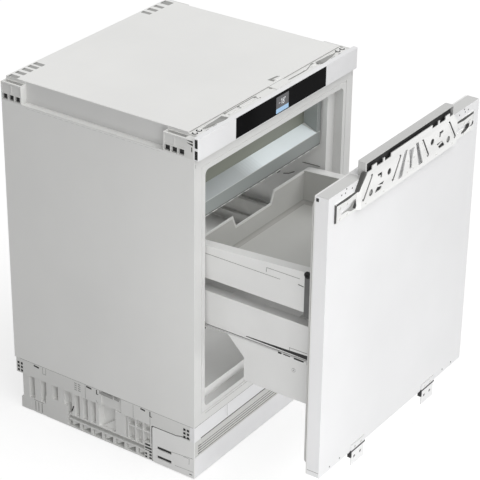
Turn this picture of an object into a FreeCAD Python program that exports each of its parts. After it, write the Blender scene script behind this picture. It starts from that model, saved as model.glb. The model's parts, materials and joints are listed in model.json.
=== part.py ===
import FreeCAD, Part
import math
import os
import re
import Sketcher
from collections import namedtuple

# Undercounter freezer, fully integrated, with a pull-out front that carries two drawers.
# Millimetres, +Z up, front towards -Y, X = 0 on the plane of symmetry, the floor at Z = 0.
# The drawer front stands pulled out by pull_out.

# Driving dimensions, in the order of the assembly.
SIZES = {
    # Cabinet: heights stacked up from the floor, then width and depth
    "base_height": 133, "sill_height": 37, "opening_height": 565, "lintel_height": 36.6, "cap_height": 48.4,
    "cabinet_width": 597, "cabinet_depth": 507,
    "panel_skin": 1, "panel_flange": 14, "cap_inset": 18, "cap_skin": 1.5, "back_skin": 1,
    # Insulated walls, the liner's floor and the hump over the machine bay
    "side_wall": 67, "rear_wall": 61, "ceiling_rise": 13, "liner_skin": 2, "floor_step": 22,
    "hump_height": 138, "hump_slope": 38, "bay_depth": 248, "bay_wall": 50, "plate_skin": 1,
    # Front frame and sill
    "frame_depth": 22, "stile_width": 38, "opening_radius": 12,
    "groove_inset": 11, "groove_width": 1.6, "groove_depth": 1,
    "trim_height": 38, "trim_depth": 11, "trim_skin": 3, "trim_seam": 180,
    # Control panel along the top
    "fascia_proud": 10.4, "fascia_skin": 5, "fascia_lip": 2, "fascia_radius": 4,
    "glass_width": 338, "glass_thickness": 2.5, "glass_margin": 1.2, "glass_gap": 0.2,
    "display_width": 52, "display_height": 37, "display_rise": 3.5,
    "display_border": 6, "display_depth": 6,
    # Worktop fixing strip and its clip
    "strip_depth": 25, "strip_skin": 3, "strip_drop": 2.5, "recess_depth": 2,
    "recess_margin": 28.5, "recess_length": 94, "recess_wide": 16, "recess_narrow": 7,
    "slot_end": 60, "slot_width": 3, "clip_width": 54, "clip_reach": 22, "clip_skin": 1.5,
    # Ribbed corner blocks in the rebate
    "corner_front": 76, "corner_rear": 55, "corner_height": 42, "corner_rib": 3,
    "corner_pocket": 13, "corner_columns": 3, "corner_cell": 13, "corner_panels": 2,
    "corner_panel_depth": 1.5,
    "corner_wall": 5, "corner_well": 20, "corner_plain": 20, "corner_gap": 5,
    # Evaporator, its cover and the air duct
    "cover_gap": 3, "cover_front": 37, "cover_pocket": 35, "cover_height": 151, "cover_lip_height": 34,
    "cover_rise": 15, "cover_cheek": 14, "cover_skin": 2.5, "cover_back": 6,
    "coil_width": 380, "coil_front": 108, "coil_depth": 210, "coil_height": 104,
    "coil_fin": 1.5, "coil_fins": 8, "coil_tube": 5, "coil_tubes": 3,
    "heater_tube": 4, "heater_bend": 45, "heater_length": 320,
    "duct_width": 280, "duct_depth": 20, "duct_clearance": 8, "duct_skin": 2.5,
    "duct_slot": 6, "duct_slots": 5, "duct_pitch": 38, "duct_slot_inner": 28, "duct_slot_outer": 112,
    # Fans: one over the evaporator, one behind the condenser
    "fan_radius": 48, "fan_hub": 17, "fan_depth": 18, "fan_blades": 5, "fan_blade": 1.6,
    "fan_pitch": 32, "fan_shaft": 3, "fan_running": 0.05, "fan_gap": 0.6,
    "motor_half": 24, "motor_length": 26, "motor_arm": 12, "motor_plate": 3,
    "evaporator_fan_rise": 75, "condenser_fan_rise": 60, "condenser_fan_back": 132,
    # Base mouldings: belt, columns, ribs, channel and smooth panels on their outer faces
    "floor_gap": 2, "base_width": 52, "base_rear": 14, "belt_rear": 4, "base_recess": 16,
    "rib_setback": 1.5, "rib_width": 3, "rib_start": 118, "rib_pitch": 21, "rib_count": 4,
    "shelf_level": 72,
    "pier_start": 261, "pier_pitch": 23, "pier_width": 17, "pier_count": 4, "pier_slant": 4,
    "column_start": 361, "column_pitch": 34.5, "column_width": 26, "column_count": 4,
    "brace_start": 186, "brace_width": 36, "channel_low": 24, "channel_high": 34, "ledge": 3,
    "channel_end": 352, "block_start": 124, "block_pitch": 32, "block_count": 7, "block_width": 6,
    "smooth_start": 356, "smooth_end": 420, "smooth_top": 57, "heel_start": 465, "heel_top": 30,
    "belt_slot_width": 14, "belt_slot_height": 4, "belt_slot_drop": 6, "belt_slot_start": 110,
    "belt_slot_pitch": 163, "belt_slots": 3, "belt_window_start": 200, "belt_window_end": 256,
    "belt_window_top": 5, "belt_window_depth": 5, "belt_cell": 7, "belt_cell_rib": 2.5,
    # Side covers, grille and toe kick
    "cover_length": 114, "side_cover_skin": 3, "cover_radius": 6,
    "cover_slot_start": 62, "cover_slot_end": 101, "cover_slot_low": 16, "cover_slot_high": 40,
    "cover_slot_width": 8, "toe_height": 52, "toe_depth": 14, "toe_skin": 3,
    "grille_inset": 24, "grille_depth": 12, "grille_setback": 1, "louvre_count": 4,
    "louvre_gap": 4, "louvre_pitch": 6.6, "louvre_start": 4, "louvre_end": 16, "louvre_bar": 5,
    # Machine tray and what stands on it
    "tray_level": 10, "tray_skin": 2, "tray_wall": 22, "tray_front": 26, "tray_back": 8,
    "mount_height": 20, "mount_radius": 11, "mount_sides": 8, "mount_span": 180, "mount_depth": 120,
    "compressor_margin": 22.5, "compressor_back": 122, "compressor_radius": 78, "compressor_waist": 92,
    "compressor_dome": 44, "dome_end_radius": 50,
    "compressor_plate": 3, "compressor_edge": 22,
    "terminal_width": 60, "terminal_height": 52, "terminal_depth": 26, "terminal_lift": 20,
    "drain_width": 170, "drain_depth": 130, "drain_height": 26, "drain_skin": 2,
    "condenser_width": 340, "condenser_margin": 8, "condenser_front": 62, "condenser_height": 98,
    "condenser_header": 8, "condenser_tube": 3, "condenser_depth": 16, "condenser_tubes": 5,
    "condenser_fin": 1.5, "condenser_fins": 7,
    "inlet_margin": 16, "inlet_width": 50, "inlet_height": 28, "inlet_depth": 30,
    "inlet_recess": 18, "inlet_wall": 4, "inlet_pin": 2, "inlet_pitch": 7,
    # Levelling feet
    "foot_radius": 15, "foot_sides": 6, "foot_height": 7, "foot_stem": 6, "foot_top": 96, "foot_front": 62,
    "foot_rear": 70, "foot_pocket": 16.5, "foot_pocket_depth": 18, "foot_running": 0.06, "foot_headroom": 8,
    # Drawer travel and the telescopic rails, heights stacked up from the hump
    "pull_out": 272, "drawer_gap": 8, "channel_width": 20.2, "channel_skin": 1.2,
    "shelf_clearance": 15, "frame_lift": 13, "lower_height": 72, "drawer_spacing": 33, "upper_height": 57.5,
    "drawer_length": 345, "end_plate": 3, "rail_skin": 1.5, "rail_running": 0.5,
    "rail_lift": 8, "rail_height": 45, "rail_setback": 12, "rail_lip": 10,
    "bracket_fall": 16.5, "bracket_drop": 15.5, "fixed_start": 30, "fixed_end_gap": 46,
    "slider_start": 54, "slider_length": 336, "runner_start": 32,
    # Tubs
    "tub_skin": 2.5, "tub_clearance": 0.5, "tub_front": 10, "tub_bottom_radius": 8,
    "upper_sink": 8, "rear_rim_rise": 16.5, "front_rim_rise": 39.5,
    "dip_half": 78, "dip_slant": 12, "dip_fall": 11.5,
    "deep_clearance": 49, "hump_clearance": 8.5, "knee_fall": 43, "shoulder": 2,
    # Door
    "door_inset": 1.2, "door_drop": 1, "door_rise": 6.4, "door_thickness": 32,
    "door_skin": 1, "door_liner_skin": 3, "door_radius": 3,
    "seal_depth": 12, "seal_gap": 0.5, "seal_width": 16, "seal_inset": 11.5, "seal_margin": 11,
    # Fixing rail: across from its ends or the middle, up from its lower edge
    "rail_standoff": 6.2, "rail_sheet": 2, "rail_margin": 23.3, "rail_drop": 63, "rail_rise": 82,
    "joggle_outer": 197, "pad_height": 43, "pad_step": 2, "pad_taper": 9, "joggle_run": 7,
    "shoulder_step": 18, "shoulder_height": 72,
    "bone_margin": 24, "bone_step": 10, "bone_height": 20, "bone_neck": 4.5, "bone_end": 7,
    "slant_high": 60, "slant_low": 19, "slant_radius": 4, "slant_outer_step": 8, "slant_outer_run": 28,
    "slant_inner_high": 45, "slant_inner_low": 70,
    "rail_hole": 153.7, "rail_hole_height": 23, "rail_hole_radius": 7,
    "hook_outer": 130, "hook_inner": 114, "hook_low": 42, "hook_high": 54, "hook_arm": 5.5,
    "wedge_outer": 139, "wedge_inner": 105, "wedge_low": 16, "wedge_high": 30, "wedge_slant": 12,
    "port": 85.7, "port_height": 42.5, "port_radius": 7,
    "window_high_inner": 17, "window_high_outer": 27, "window_low_inner": 33, "window_low_outer": 50,
    "window_low": 10, "window_high": 65, "key_high": 60, "key_mid": 38, "key_low": 16,
    "key_wide": 11.5, "key_waist": 5, "key_foot": 4,
    "notch_depth": 8, "notch_outer": 124, "notch_inner": 94, "notch_edge": 166, "notch_width": 24,
    # Cover box behind the rail and the lower clips
    "box_half": 173, "box_height": 31, "box_depth": 20, "box_skin": 2, "box_radius": 3,
    "lower_clip": 147, "lower_clip_width": 50, "lower_clip_drop": 36, "lower_clip_lap": 16,
    "lower_clip_return": 20, "lower_clip_hole": 4, "lower_clip_pitch": 24,
}

# Planes and levels that follow from the driving dimensions.
PLACES = {
    "half": "cabinet_width / 2",
    "reach": "pull_out + seal_gap + seal_depth + door_thickness + rail_standoff + rail_sheet",
    "front": "(reach - cabinet_depth) / 2",
    "back": "front + cabinet_depth",
    "sill_level": "base_height + sill_height",
    "lintel_level": "sill_level + opening_height",
    "panel_top": "lintel_level + lintel_height",
    "cabinet_height": "panel_top + cap_height",
    "floor_level": "sill_level + floor_step",
    "hump_level": "floor_level + hump_height",
    "hump_front": "cabinet_depth - bay_depth - plate_skin - bay_wall - liner_skin",
    "ceiling": "lintel_level + ceiling_rise",
    "cap_half": "half - cap_inset",
    "cap_front": "front + fascia_lip + strip_depth",
    "inner_half": "half - side_wall",
    "liner_front": "front + frame_depth",
    "liner_back": "back - rear_wall",
    "plate_level": "base_height + panel_skin",
    "trim_foot": "base_height - trim_height",
    "trim_back": "front + trim_depth",
    "fascia_front": "front - fascia_proud",
    "fascia_back": "front + fascia_lip",
    "glass_back": "fascia_front + glass_thickness",
    "strip_top": "cabinet_height - strip_drop",
    "recess_start": "cap_half - recess_margin",
    "recess_end": "recess_start - recess_length",
    "cover_half": "inner_half - cover_gap",
    "cover_floor": "ceiling - cover_height",
    "cover_lip": "cover_floor + cover_lip_height",
    "duct_foot": "hump_level + duct_clearance",
    "evaporator_fan_level": "cover_floor + evaporator_fan_rise",
    "condenser_fan_level": "tray_top + condenser_fan_rise",
    "motor_face": "fan_depth / 2 + fan_gap",
    "base_inner": "half - base_width",
    "base_face": "half - base_recess",
    "rib_face": "half - rib_setback",
    "toe_top": "floor_gap + toe_height",
    "tray_top": "tray_level + tray_skin",
    "tray_half": "base_inner - tray_skin",
    "compressor_half": "mount_span / 2 + compressor_edge",
    "compressor_axis": "tray_half - compressor_margin - compressor_half",
    "condenser_left": "condenser_margin + condenser_header - tray_half",
    "condenser_axis": "condenser_left + condenser_width / 2",
    "inlet_left": "inlet_margin - tray_half",
    "foot_axis": "half - base_width / 2 - base_recess / 2",
    "door_back": "front - pull_out - seal_gap - seal_depth",
    "door_face": "door_back - door_thickness",
    "door_half": "half - door_inset",
    "door_foot": "base_height - door_drop",
    "door_top": "panel_top + door_rise",
    "frame_outer": "inner_half - drawer_gap",
    "frame_inner": "frame_outer - channel_width",
    "drawer_rear": "door_back + drawer_length",
    "lower_shelf": "hump_level + shelf_clearance",
    "lower_foot": "lower_shelf + frame_lift",
    "lower_top": "lower_foot + lower_height",
    "upper_foot": "lower_top + drawer_spacing",
    "upper_top": "upper_foot + upper_height",
    "upper_floor": "upper_foot - upper_sink",
    "upper_rear_rim": "upper_top + rear_rim_rise",
    "upper_front_rim": "upper_top + front_rim_rise",
    "dip_level": "upper_top - dip_fall",
    "lower_floor": "floor_level + deep_clearance",
    "lower_knee": "lower_shelf - knee_fall",
    "deep_rear": "front + hump_front - hump_clearance - pull_out",
    "tub_half": "frame_inner - tub_clearance",
    "tub_face": "door_back + tub_front",
    "rail_web": "inner_half - rail_setback",
    "rail_level": "lower_foot + rail_lift",
    "bracket_level": "rail_level - bracket_fall",
    "rail_front": "door_face - rail_standoff - rail_sheet",
    "rail_half": "door_half - rail_margin",
    "rail_foot": "door_top - rail_drop",
    "rail_top": "rail_foot + rail_rise",
    "pad_top": "rail_foot + pad_height",
    "joggle_inner": "joggle_outer - joggle_run",
    "shoulder_half": "joggle_inner - shoulder_step",
    "shoulder_level": "rail_foot + shoulder_height",
    "slant_outer_low": "joggle_inner - slant_outer_step",
    "slant_outer_high": "slant_outer_low - slant_outer_run",
}

LEFT = -1
RIGHT = 1
SIDES = (("left", LEFT), ("right", RIGHT))
BUDGE = "1"

Circle = namedtuple("Circle", "across up radius")
Slot = namedtuple("Slot", "across up across_end up_end radius")

doc = FreeCAD.newDocument("undercounter_freezer")
sheet = doc.addObject("Spreadsheet::Sheet", "Sizes")
WORD = re.compile(r"[a-z][a-z_]*")
pieces = []


def fill_sheet():
    """Write each driving dimension into its own named cell."""
    for row, (name, value) in enumerate(SIZES.items(), start=1):
        sheet.set("A%d" % row, name)
        sheet.set("B%d" % row, str(value))
        sheet.setAlias("B%d" % row, name)
    doc.recompute()


def linked(text):
    """Turn a text of size names into an expression on the cells of the sheet."""
    def link(word):
        name = word.group(0)
        if name in SIZES:
            return "Sizes." + name
        if name in PLACES:
            return "(" + linked(PLACES[name]) + ")"
        return name
    return WORD.sub(link, str(text))


def size(text):
    """The number that a text of size names stands for now."""
    return float(sheet.evalExpression(linked(text)))


def flip(side, text):
    """A distance from the plane of symmetry, on the left or the right side."""
    return "-(%s)" % text if side == LEFT else "(%s)" % text


def span(side, inner, outer):
    """The two ends of a stretch along X on one side, lower end first."""
    return (flip(side, outer), flip(side, inner)) if side == LEFT else (flip(side, inner),
                                                                        flip(side, outer))


def rect(across, up, across_end, up_end):
    """The corners of a rectangle in a sketch."""
    return [(across, up), (across_end, up), (across_end, up_end), (across, up_end)]


def mirrored(side, corners):
    """The same outline on the left or the right side."""
    return [(flip(side, across), up) for across, up in corners]


def keep(shape, label):
    """Name a finished piece and put it on the list of pieces."""
    shape.Label = label
    pieces.append(shape)
    return shape


def body(label):
    """A new solid piece made of sketched features."""
    return keep(doc.addObject("PartDesign::Body", label), label)


def fix_point(sketch, line, end, across, up):
    """Tie one end of a line, or the middle of a circle, to two sizes."""
    for kind, text in (("DistanceX", across), ("DistanceY", up)):
        index = sketch.addConstraint(Sketcher.Constraint(kind, -1, 1, line, end, size(text)))
        sketch.setExpression("Constraints[%d]" % index, linked(text))


def draw_polygon(sketch, corners):
    """Straight lines through the corners, each corner tied to its sizes."""
    spots = [FreeCAD.Vector(size(across), size(up), 0) for across, up in corners]
    turns = spots[1:] + spots[:1]
    lines = [sketch.addGeometry(Part.LineSegment(a, b), False) for a, b in zip(spots, turns)]
    for line, following in zip(lines, lines[1:] + lines[:1]):
        sketch.addConstraint(Sketcher.Constraint("Coincident", line, 2, following, 1))
    for line, (across, up) in zip(lines, corners):
        fix_point(sketch, line, 1, across, up)


def draw_circle(sketch, hole):
    """A full circle tied to its middle and radius."""
    middle = FreeCAD.Vector(size(hole.across), size(hole.up), 0)
    ring = sketch.addGeometry(Part.Circle(middle, FreeCAD.Vector(0, 0, 1), size(hole.radius)), False)
    fix_point(sketch, ring, 3, hole.across, hole.up)
    index = sketch.addConstraint(Sketcher.Constraint("Radius", ring, size(hole.radius)))
    sketch.setExpression("Constraints[%d]" % index, linked(hole.radius))


def draw_slot(sketch, hole):
    """A slot with round ends, tied to the middles of its ends and its radius."""
    start = FreeCAD.Vector(size(hole.across), size(hole.up), 0)
    end = FreeCAD.Vector(size(hole.across_end), size(hole.up_end), 0)
    radius = size(hole.radius)
    heading = math.atan2(end.y - start.y, end.x - start.x)
    aside = FreeCAD.Vector(-math.sin(heading), math.cos(heading), 0) * radius
    up = FreeCAD.Vector(0, 0, 1)
    quarter = math.pi / 2
    near = Part.ArcOfCircle(Part.Circle(start, up, radius), heading + quarter, heading + 3 * quarter)
    far = Part.ArcOfCircle(Part.Circle(end, up, radius), heading - quarter, heading + quarter)
    near_arc = sketch.addGeometry(near, False)
    lower = sketch.addGeometry(Part.LineSegment(start - aside, end - aside), False)
    far_arc = sketch.addGeometry(far, False)
    upper = sketch.addGeometry(Part.LineSegment(end + aside, start + aside), False)
    for first, second in ((near_arc, lower), (lower, far_arc), (far_arc, upper), (upper, near_arc)):
        sketch.addConstraint(Sketcher.Constraint("Tangent", first, 2, second, 1))
    fix_point(sketch, near_arc, 3, hole.across, hole.up)
    fix_point(sketch, far_arc, 3, hole.across_end, hole.up_end)
    index = sketch.addConstraint(Sketcher.Constraint("Radius", near_arc, radius))
    sketch.setExpression("Constraints[%d]" % index, linked(hole.radius))


def outline(piece, plane, level, loops):
    """A sketch of closed loops on one of the piece's own planes, moved to a level."""
    origin = [item for item in piece.Origin.OriginFeatures if item.Role == plane][0]
    sketch = piece.newObject("Sketcher::SketchObject", piece.Label + "_outline")
    sketch.AttachmentSupport = (origin, [""])
    sketch.MapMode = "FlatFace"
    sketch.setExpression("AttachmentOffset.Base.z", linked(level))
    for loop in loops:
        if isinstance(loop, Circle):
            draw_circle(sketch, loop)
        elif isinstance(loop, Slot):
            draw_slot(sketch, loop)
        else:
            draw_polygon(sketch, loop)
    return sketch


def pushed(piece, kind, plane, loops, start, end):
    """Push an outline from start to end, square to its plane, as added or removed material."""
    # The XZ plane of a body faces -Y, so a stretch along Y is laid out from its far end.
    level = "-(%s)" % end if plane == "XZ_Plane" else start
    sketch = outline(piece, plane, level, loops)
    feature = piece.newObject(kind, piece.Label + "_stretch")
    feature.Profile = sketch
    feature.setExpression("Length", linked("(%s) - (%s)" % (end, start)))
    return feature


def pad(piece, plane, loops, start, end):
    """Add an outline between two levels."""
    return pushed(piece, "PartDesign::Pad", plane, loops, start, end)


def cut(piece, plane, loops, start, end):
    """Remove an outline between two levels, and make sure that it removed something."""
    doc.recompute()
    before = piece.Shape.Volume
    feature = pushed(piece, "PartDesign::Pocket", plane, loops, start, end)
    feature.Reversed = True
    doc.recompute()
    if not piece.Shape.Volume < before:
        raise ValueError("a cut in %s removes nothing" % piece.Label)
    return feature


def patterned(piece, feature, axis, length, count):
    """Repeat a feature along one axis of the piece."""
    pattern = piece.newObject("PartDesign::LinearPattern", piece.Label + "_row")
    pattern.Originals = [feature]
    line = [item for item in piece.Origin.OriginFeatures if item.Role == axis][0]
    pattern.Direction = (line, [""])
    pattern.setExpression("Length", linked(length))
    pattern.setExpression("Occurrences", linked(count))
    piece.Tip = pattern
    return pattern


def soften(piece, radius, chosen):
    """Round the edges of a piece that a test picks out."""
    doc.recompute()
    base = piece.Tip
    names = ["Edge%d" % (i + 1) for i, edge in enumerate(base.Shape.Edges) if chosen(edge)]
    rounding = piece.newObject("PartDesign::Fillet", piece.Label + "_rounding")
    rounding.Base = (base, names)
    rounding.setExpression("Radius", linked(radius))
    return rounding


def runs_along(edge, axis):
    """Whether an edge is a straight line along the axis 0, 1 or 2."""
    first, last = edge.Vertexes[0].Point, edge.Vertexes[-1].Point
    others = [i for i in range(3) if i != axis]
    return len(edge.Vertexes) == 2 and all(abs(first[i] - last[i]) < 1e-4 for i in others)


def lies_within(edge, across, up, axes):
    """Whether an edge's middle lies within two limits from the plane of symmetry and the floor."""
    middle = edge.BoundBox.Center
    return abs(middle[axes[0]]) <= across + 1e-3 and up[0] - 1e-3 <= middle[axes[1]] <= up[1] + 1e-3


def on_floor(edge, level):
    """Whether an edge lies flat at a level."""
    height = size(level)
    return abs(edge.BoundBox.ZMin - height) < 1e-3 and abs(edge.BoundBox.ZMax - height) < 1e-3


def block(label, low, high):
    """A box between two corners."""
    shape = doc.addObject("Part::Box", label)
    for prop, axis in (("Length", 0), ("Width", 1), ("Height", 2)):
        shape.setExpression(prop, linked("(%s) - (%s)" % (high[axis], low[axis])))
    for axis, name in enumerate("xyz"):
        shape.setExpression("Placement.Base." + name, linked(low[axis]))
    return shape


TURNS = {"x": FreeCAD.Rotation(FreeCAD.Vector(0, 1, 0), 90),
         "y": FreeCAD.Rotation(FreeCAD.Vector(1, 0, 0), -90),
         "z": FreeCAD.Rotation()}


def rod(label, axis, radius, start, length):
    """A round bar from a point along one axis."""
    shape = doc.addObject("Part::Cylinder", label)
    shape.setExpression("Radius", linked(radius))
    shape.setExpression("Height", linked(length))
    shape.Placement = FreeCAD.Placement(FreeCAD.Vector(0, 0, 0), TURNS[axis])
    for name, text in zip("xyz", start):
        shape.setExpression("Placement.Base." + name, linked(text))
    return shape


def prism(label, sides, radius, start, length):
    """An upright many-sided bar from the middle of its foot."""
    bar = doc.addObject("Part::Prism", label)
    for name, text in (("Polygon", sides), ("Circumradius", radius), ("Height", length)):
        bar.setExpression(name, linked(text))
    for name, text in zip("xyz", start):
        bar.setExpression("Placement.Base." + name, linked(text))
    return bar


def fused(label, shapes):
    """Several solids joined into one."""
    joint = doc.addObject("Part::MultiFuse", label)
    joint.Shapes = shapes
    joint.Refine = True
    return joint


def less(label, base, tools):
    """A solid with others taken away from it."""
    tool = tools[0] if len(tools) == 1 else fused(label + "_tools", tools)
    result = doc.addObject("Part::Cut", label)
    result.Base = base
    result.Tool = tool
    return result


def offset_hump(extra):
    """The line of the hump over the machine bay, moved outwards by a distance."""
    share = "0.41421356 * (%s)" % extra
    foot = "front + hump_front + (%s)" % extra
    return [(foot, "hump_level - hump_slope - %s" % share),
            ("front + hump_front + hump_slope + %s" % share, "hump_level - (%s)" % extra)]


def cavity(extra, opening):
    """The side view of the liner's inside, moved outwards by a distance, from the given front."""
    low = "floor_level - (%s)" % extra
    high = "ceiling + (%s)" % extra
    rear = "liner_back + (%s)" % extra
    hump = offset_hump(extra)
    return [(opening, low), (hump[0][0], low), hump[0], hump[1], (rear, hump[1][1]), (rear, high),
            (opening, high)]


def build_shell():
    """Outer skins, liner, insulation and the plate over the machine bay."""
    for name, side in SIDES:
        panel = body("side_panel_" + name)
        section = [("half", "base_height"), ("half", "panel_top"), ("cap_half", "panel_top"),
                   ("cap_half", "panel_top - panel_skin"), ("half - panel_skin", "panel_top - panel_skin"),
                   ("half - panel_skin", "plate_level"), ("half - panel_flange", "plate_level"),
                   ("half - panel_flange", "base_height")]
        pad(panel, "XZ_Plane", [mirrored(side, section)], "liner_front", "back")
        edge = rect("half - panel_skin", "base_height", "half", "panel_top")
        pad(panel, "XZ_Plane", [mirrored(side, edge)], "front", "liner_front")

    top = body("top_panel")
    pad(top, "XY_Plane", [rect("-(cap_half)", "cap_front", "cap_half", "back")], "panel_top",
        "cabinet_height")
    inside = rect("cap_skin - cap_half", "cap_front + cap_skin", "cap_half - cap_skin", "back - cap_skin")
    cut(top, "XY_Plane", [inside], "panel_top", "cabinet_height - cap_skin")

    rear = body("back_panel")
    bay_top = offset_hump("liner_skin + bay_wall + plate_skin")[1][1]
    pad(rear, "XZ_Plane",
        [rect("panel_skin - half", bay_top, "half - panel_skin", "panel_top - panel_skin")],
        "back - back_skin", "back")

    plate = body("bottom_plate")
    over = offset_hump("liner_skin + bay_wall")
    under = offset_hump("liner_skin + bay_wall + plate_skin")
    rear_end = "back - back_skin"
    line = [("liner_front", "plate_level + plate_skin"), (over[0][0], "plate_level + plate_skin"),
            over[0], over[1], (rear_end, over[1][1]), (rear_end, under[1][1]), under[1], under[0],
            (under[0][0], "plate_level"), ("liner_front", "plate_level")]
    pad(plate, "YZ_Plane", [line], "panel_skin - half", "half - panel_skin")

    liner = body("inner_liner")
    pad(liner, "YZ_Plane", [cavity("liner_skin", "liner_front")],
        "-(inner_half) - liner_skin", "inner_half + liner_skin")
    collar = rect("panel_skin - half", "plate_level + plate_skin", "half - panel_skin",
                  "panel_top - panel_skin")
    pad(liner, "XZ_Plane", [collar], "liner_front", "liner_front + liner_skin")
    cut(liner, "YZ_Plane", [cavity("0", "liner_front - " + BUDGE)], "-(inner_half)", "inner_half")

    foam = body("insulation_foam")
    start = "liner_front + liner_skin"
    stop = "back - back_skin"
    low = "plate_level + plate_skin"
    high = "panel_top - panel_skin"
    around = [(start, low), (over[0][0], low), over[0], over[1], (stop, over[1][1]), (stop, high),
              (start, high)]
    pad(foam, "YZ_Plane", [around], "panel_skin - half", "half - panel_skin")
    above = rect("cap_front + cap_skin", high, "back - cap_skin", "cabinet_height - cap_skin")
    pad(foam, "YZ_Plane", [above], "cap_skin - cap_half", "cap_half - cap_skin")
    cut(foam, "YZ_Plane", [cavity("liner_skin", start + " - " + BUDGE)],
        "-(inner_half) - liner_skin", "inner_half + liner_skin")


def build_front():
    """Frame round the opening, sill trim, control panel and worktop strip."""
    frame = body("front_frame")
    around = rect("panel_skin - half", "base_height", "half - panel_skin", "panel_top")
    opening = rect("stile_width - half", "sill_level", "half - stile_width", "lintel_level")
    pad(frame, "XZ_Plane", [around, opening], "front", "liner_front")
    limit = size("half - stile_width")
    heights = (size("sill_level"), size("lintel_level"))
    soften(frame, "opening_radius",
           lambda edge: runs_along(edge, 1) and lies_within(edge, limit, heights, (0, 2)))
    reach = "half - stile_width + groove_inset"
    outer = rect("-(%s) - groove_width" % reach, "sill_level - groove_inset - groove_width",
                 "%s + groove_width" % reach, "lintel_level + groove_inset + groove_width")
    inner = rect("-(%s)" % reach, "sill_level - groove_inset", reach, "lintel_level + groove_inset")
    cut(frame, "XZ_Plane", [outer, inner], "front", "front + groove_depth")

    trim = body("sill_trim")
    pad(trim, "XZ_Plane", [rect("-(half)", "trim_foot", "half", "base_height")], "front", "trim_back")
    hollow = rect("trim_skin - half", "trim_foot + trim_skin", "half - trim_skin",
                  "base_height - trim_skin")
    cut(trim, "XZ_Plane", [hollow], "front + trim_skin", "trim_back")
    seams = [mirrored(side, rect("trim_seam", "trim_foot - " + BUDGE, "trim_seam + groove_width",
                                 "base_height + " + BUDGE)) for name, side in SIDES]
    cut(trim, "XZ_Plane", seams, "front", "front + groove_depth")

    fascia = body("control_fascia")
    pad(fascia, "XZ_Plane", [rect("-(half)", "panel_top", "half", "cabinet_height")], "fascia_front",
        "fascia_back")
    soften(fascia, "fascia_radius", lambda edge: runs_along(edge, 2) and edge.BoundBox.YMax < size("front"))
    hollow = rect("fascia_skin - half", "panel_top + fascia_skin", "half - fascia_skin",
                  "cabinet_height - fascia_skin")
    cut(fascia, "XZ_Plane", [hollow], "fascia_front + fascia_skin", "fascia_back")
    pane = rect("-(glass_width / 2 + glass_gap)", "panel_top + glass_margin - glass_gap",
                "glass_width / 2 + glass_gap", "cabinet_height - glass_margin + glass_gap")
    cut(fascia, "XZ_Plane", [pane], "fascia_front", "glass_back")
    low = "panel_top + display_rise"
    window = rect("-(display_width / 2 + glass_gap)", low + " + glass_margin",
                  "display_width / 2 + glass_gap",
                  low + " + display_height + glass_gap")
    cut(fascia, "XZ_Plane", [window], "fascia_front", "fascia_front + fascia_skin")

    glass = body("control_glass")
    pane = rect("-(glass_width / 2)", "panel_top + glass_margin", "glass_width / 2",
                "cabinet_height - glass_margin")
    pad(glass, "XZ_Plane", [pane], "fascia_front", "glass_back")

    display = body("display_module")
    face = rect("-(display_width / 2)", low + " + glass_margin + glass_gap", "display_width / 2",
                low + " + display_height")
    pad(display, "XZ_Plane", [face], "glass_back", "fascia_front + fascia_skin")
    carrier = rect("-(display_width / 2 + display_border)", "panel_top + fascia_skin",
                   "display_width / 2 + display_border", "cabinet_height - fascia_skin")
    pad(display, "XZ_Plane", [carrier], "fascia_front + fascia_skin",
        "fascia_front + fascia_skin + display_depth")

    strip = body("worktop_strip")
    pad(strip, "XY_Plane", [rect("-(cap_half)", "fascia_back", "cap_half", "cap_front")], "panel_top",
        "strip_top")
    hollow = rect("fascia_back + strip_skin", "panel_top + strip_skin", "cap_front + " + BUDGE,
                  "strip_top - strip_skin")
    cut(strip, "YZ_Plane", [hollow], "strip_skin - cap_half", "cap_half - strip_skin")
    middle = "fascia_back + strip_depth / 2"
    recesses = []
    for name, side in SIDES:
        wide = [("recess_start", middle + " - recess_wide / 2"),
                ("recess_end", middle + " - recess_narrow / 2"),
                ("recess_end", middle + " + recess_narrow / 2"),
                ("recess_start", middle + " + recess_wide / 2")]
        recesses.append(mirrored(side, wide))
        recesses.append(Slot(flip(side, "recess_end - 3 * slot_width"), middle, flip(side, "slot_end"),
                             middle,
                             "slot_width / 2"))
    cut(strip, "XY_Plane", recesses, "strip_top - recess_depth", "strip_top")

    clip = body("worktop_clip")
    shape = [("cap_front - clip_reach", "strip_top"), ("cap_front", "strip_top"),
             ("cap_front", "strip_top + clip_skin"), ("cap_front - clip_reach", "strip_top + clip_skin")]
    pad(clip, "YZ_Plane", [shape], "slot_width", "slot_width + clip_width")


def corner_row(start, end, count, low, high):
    """Outlines of a row of pockets between two ends, a rib apart."""
    wide = "((%s) - (%s) - corner_rib) / %s" % (end, start, count)
    row = []
    for column in range(SIZES[count]):
        left = "%s + corner_rib + %d * %s" % (start, column, wide)
        row.append(rect(left, low, "%s + %s - corner_rib" % (left, wide), high))
    return row


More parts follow.
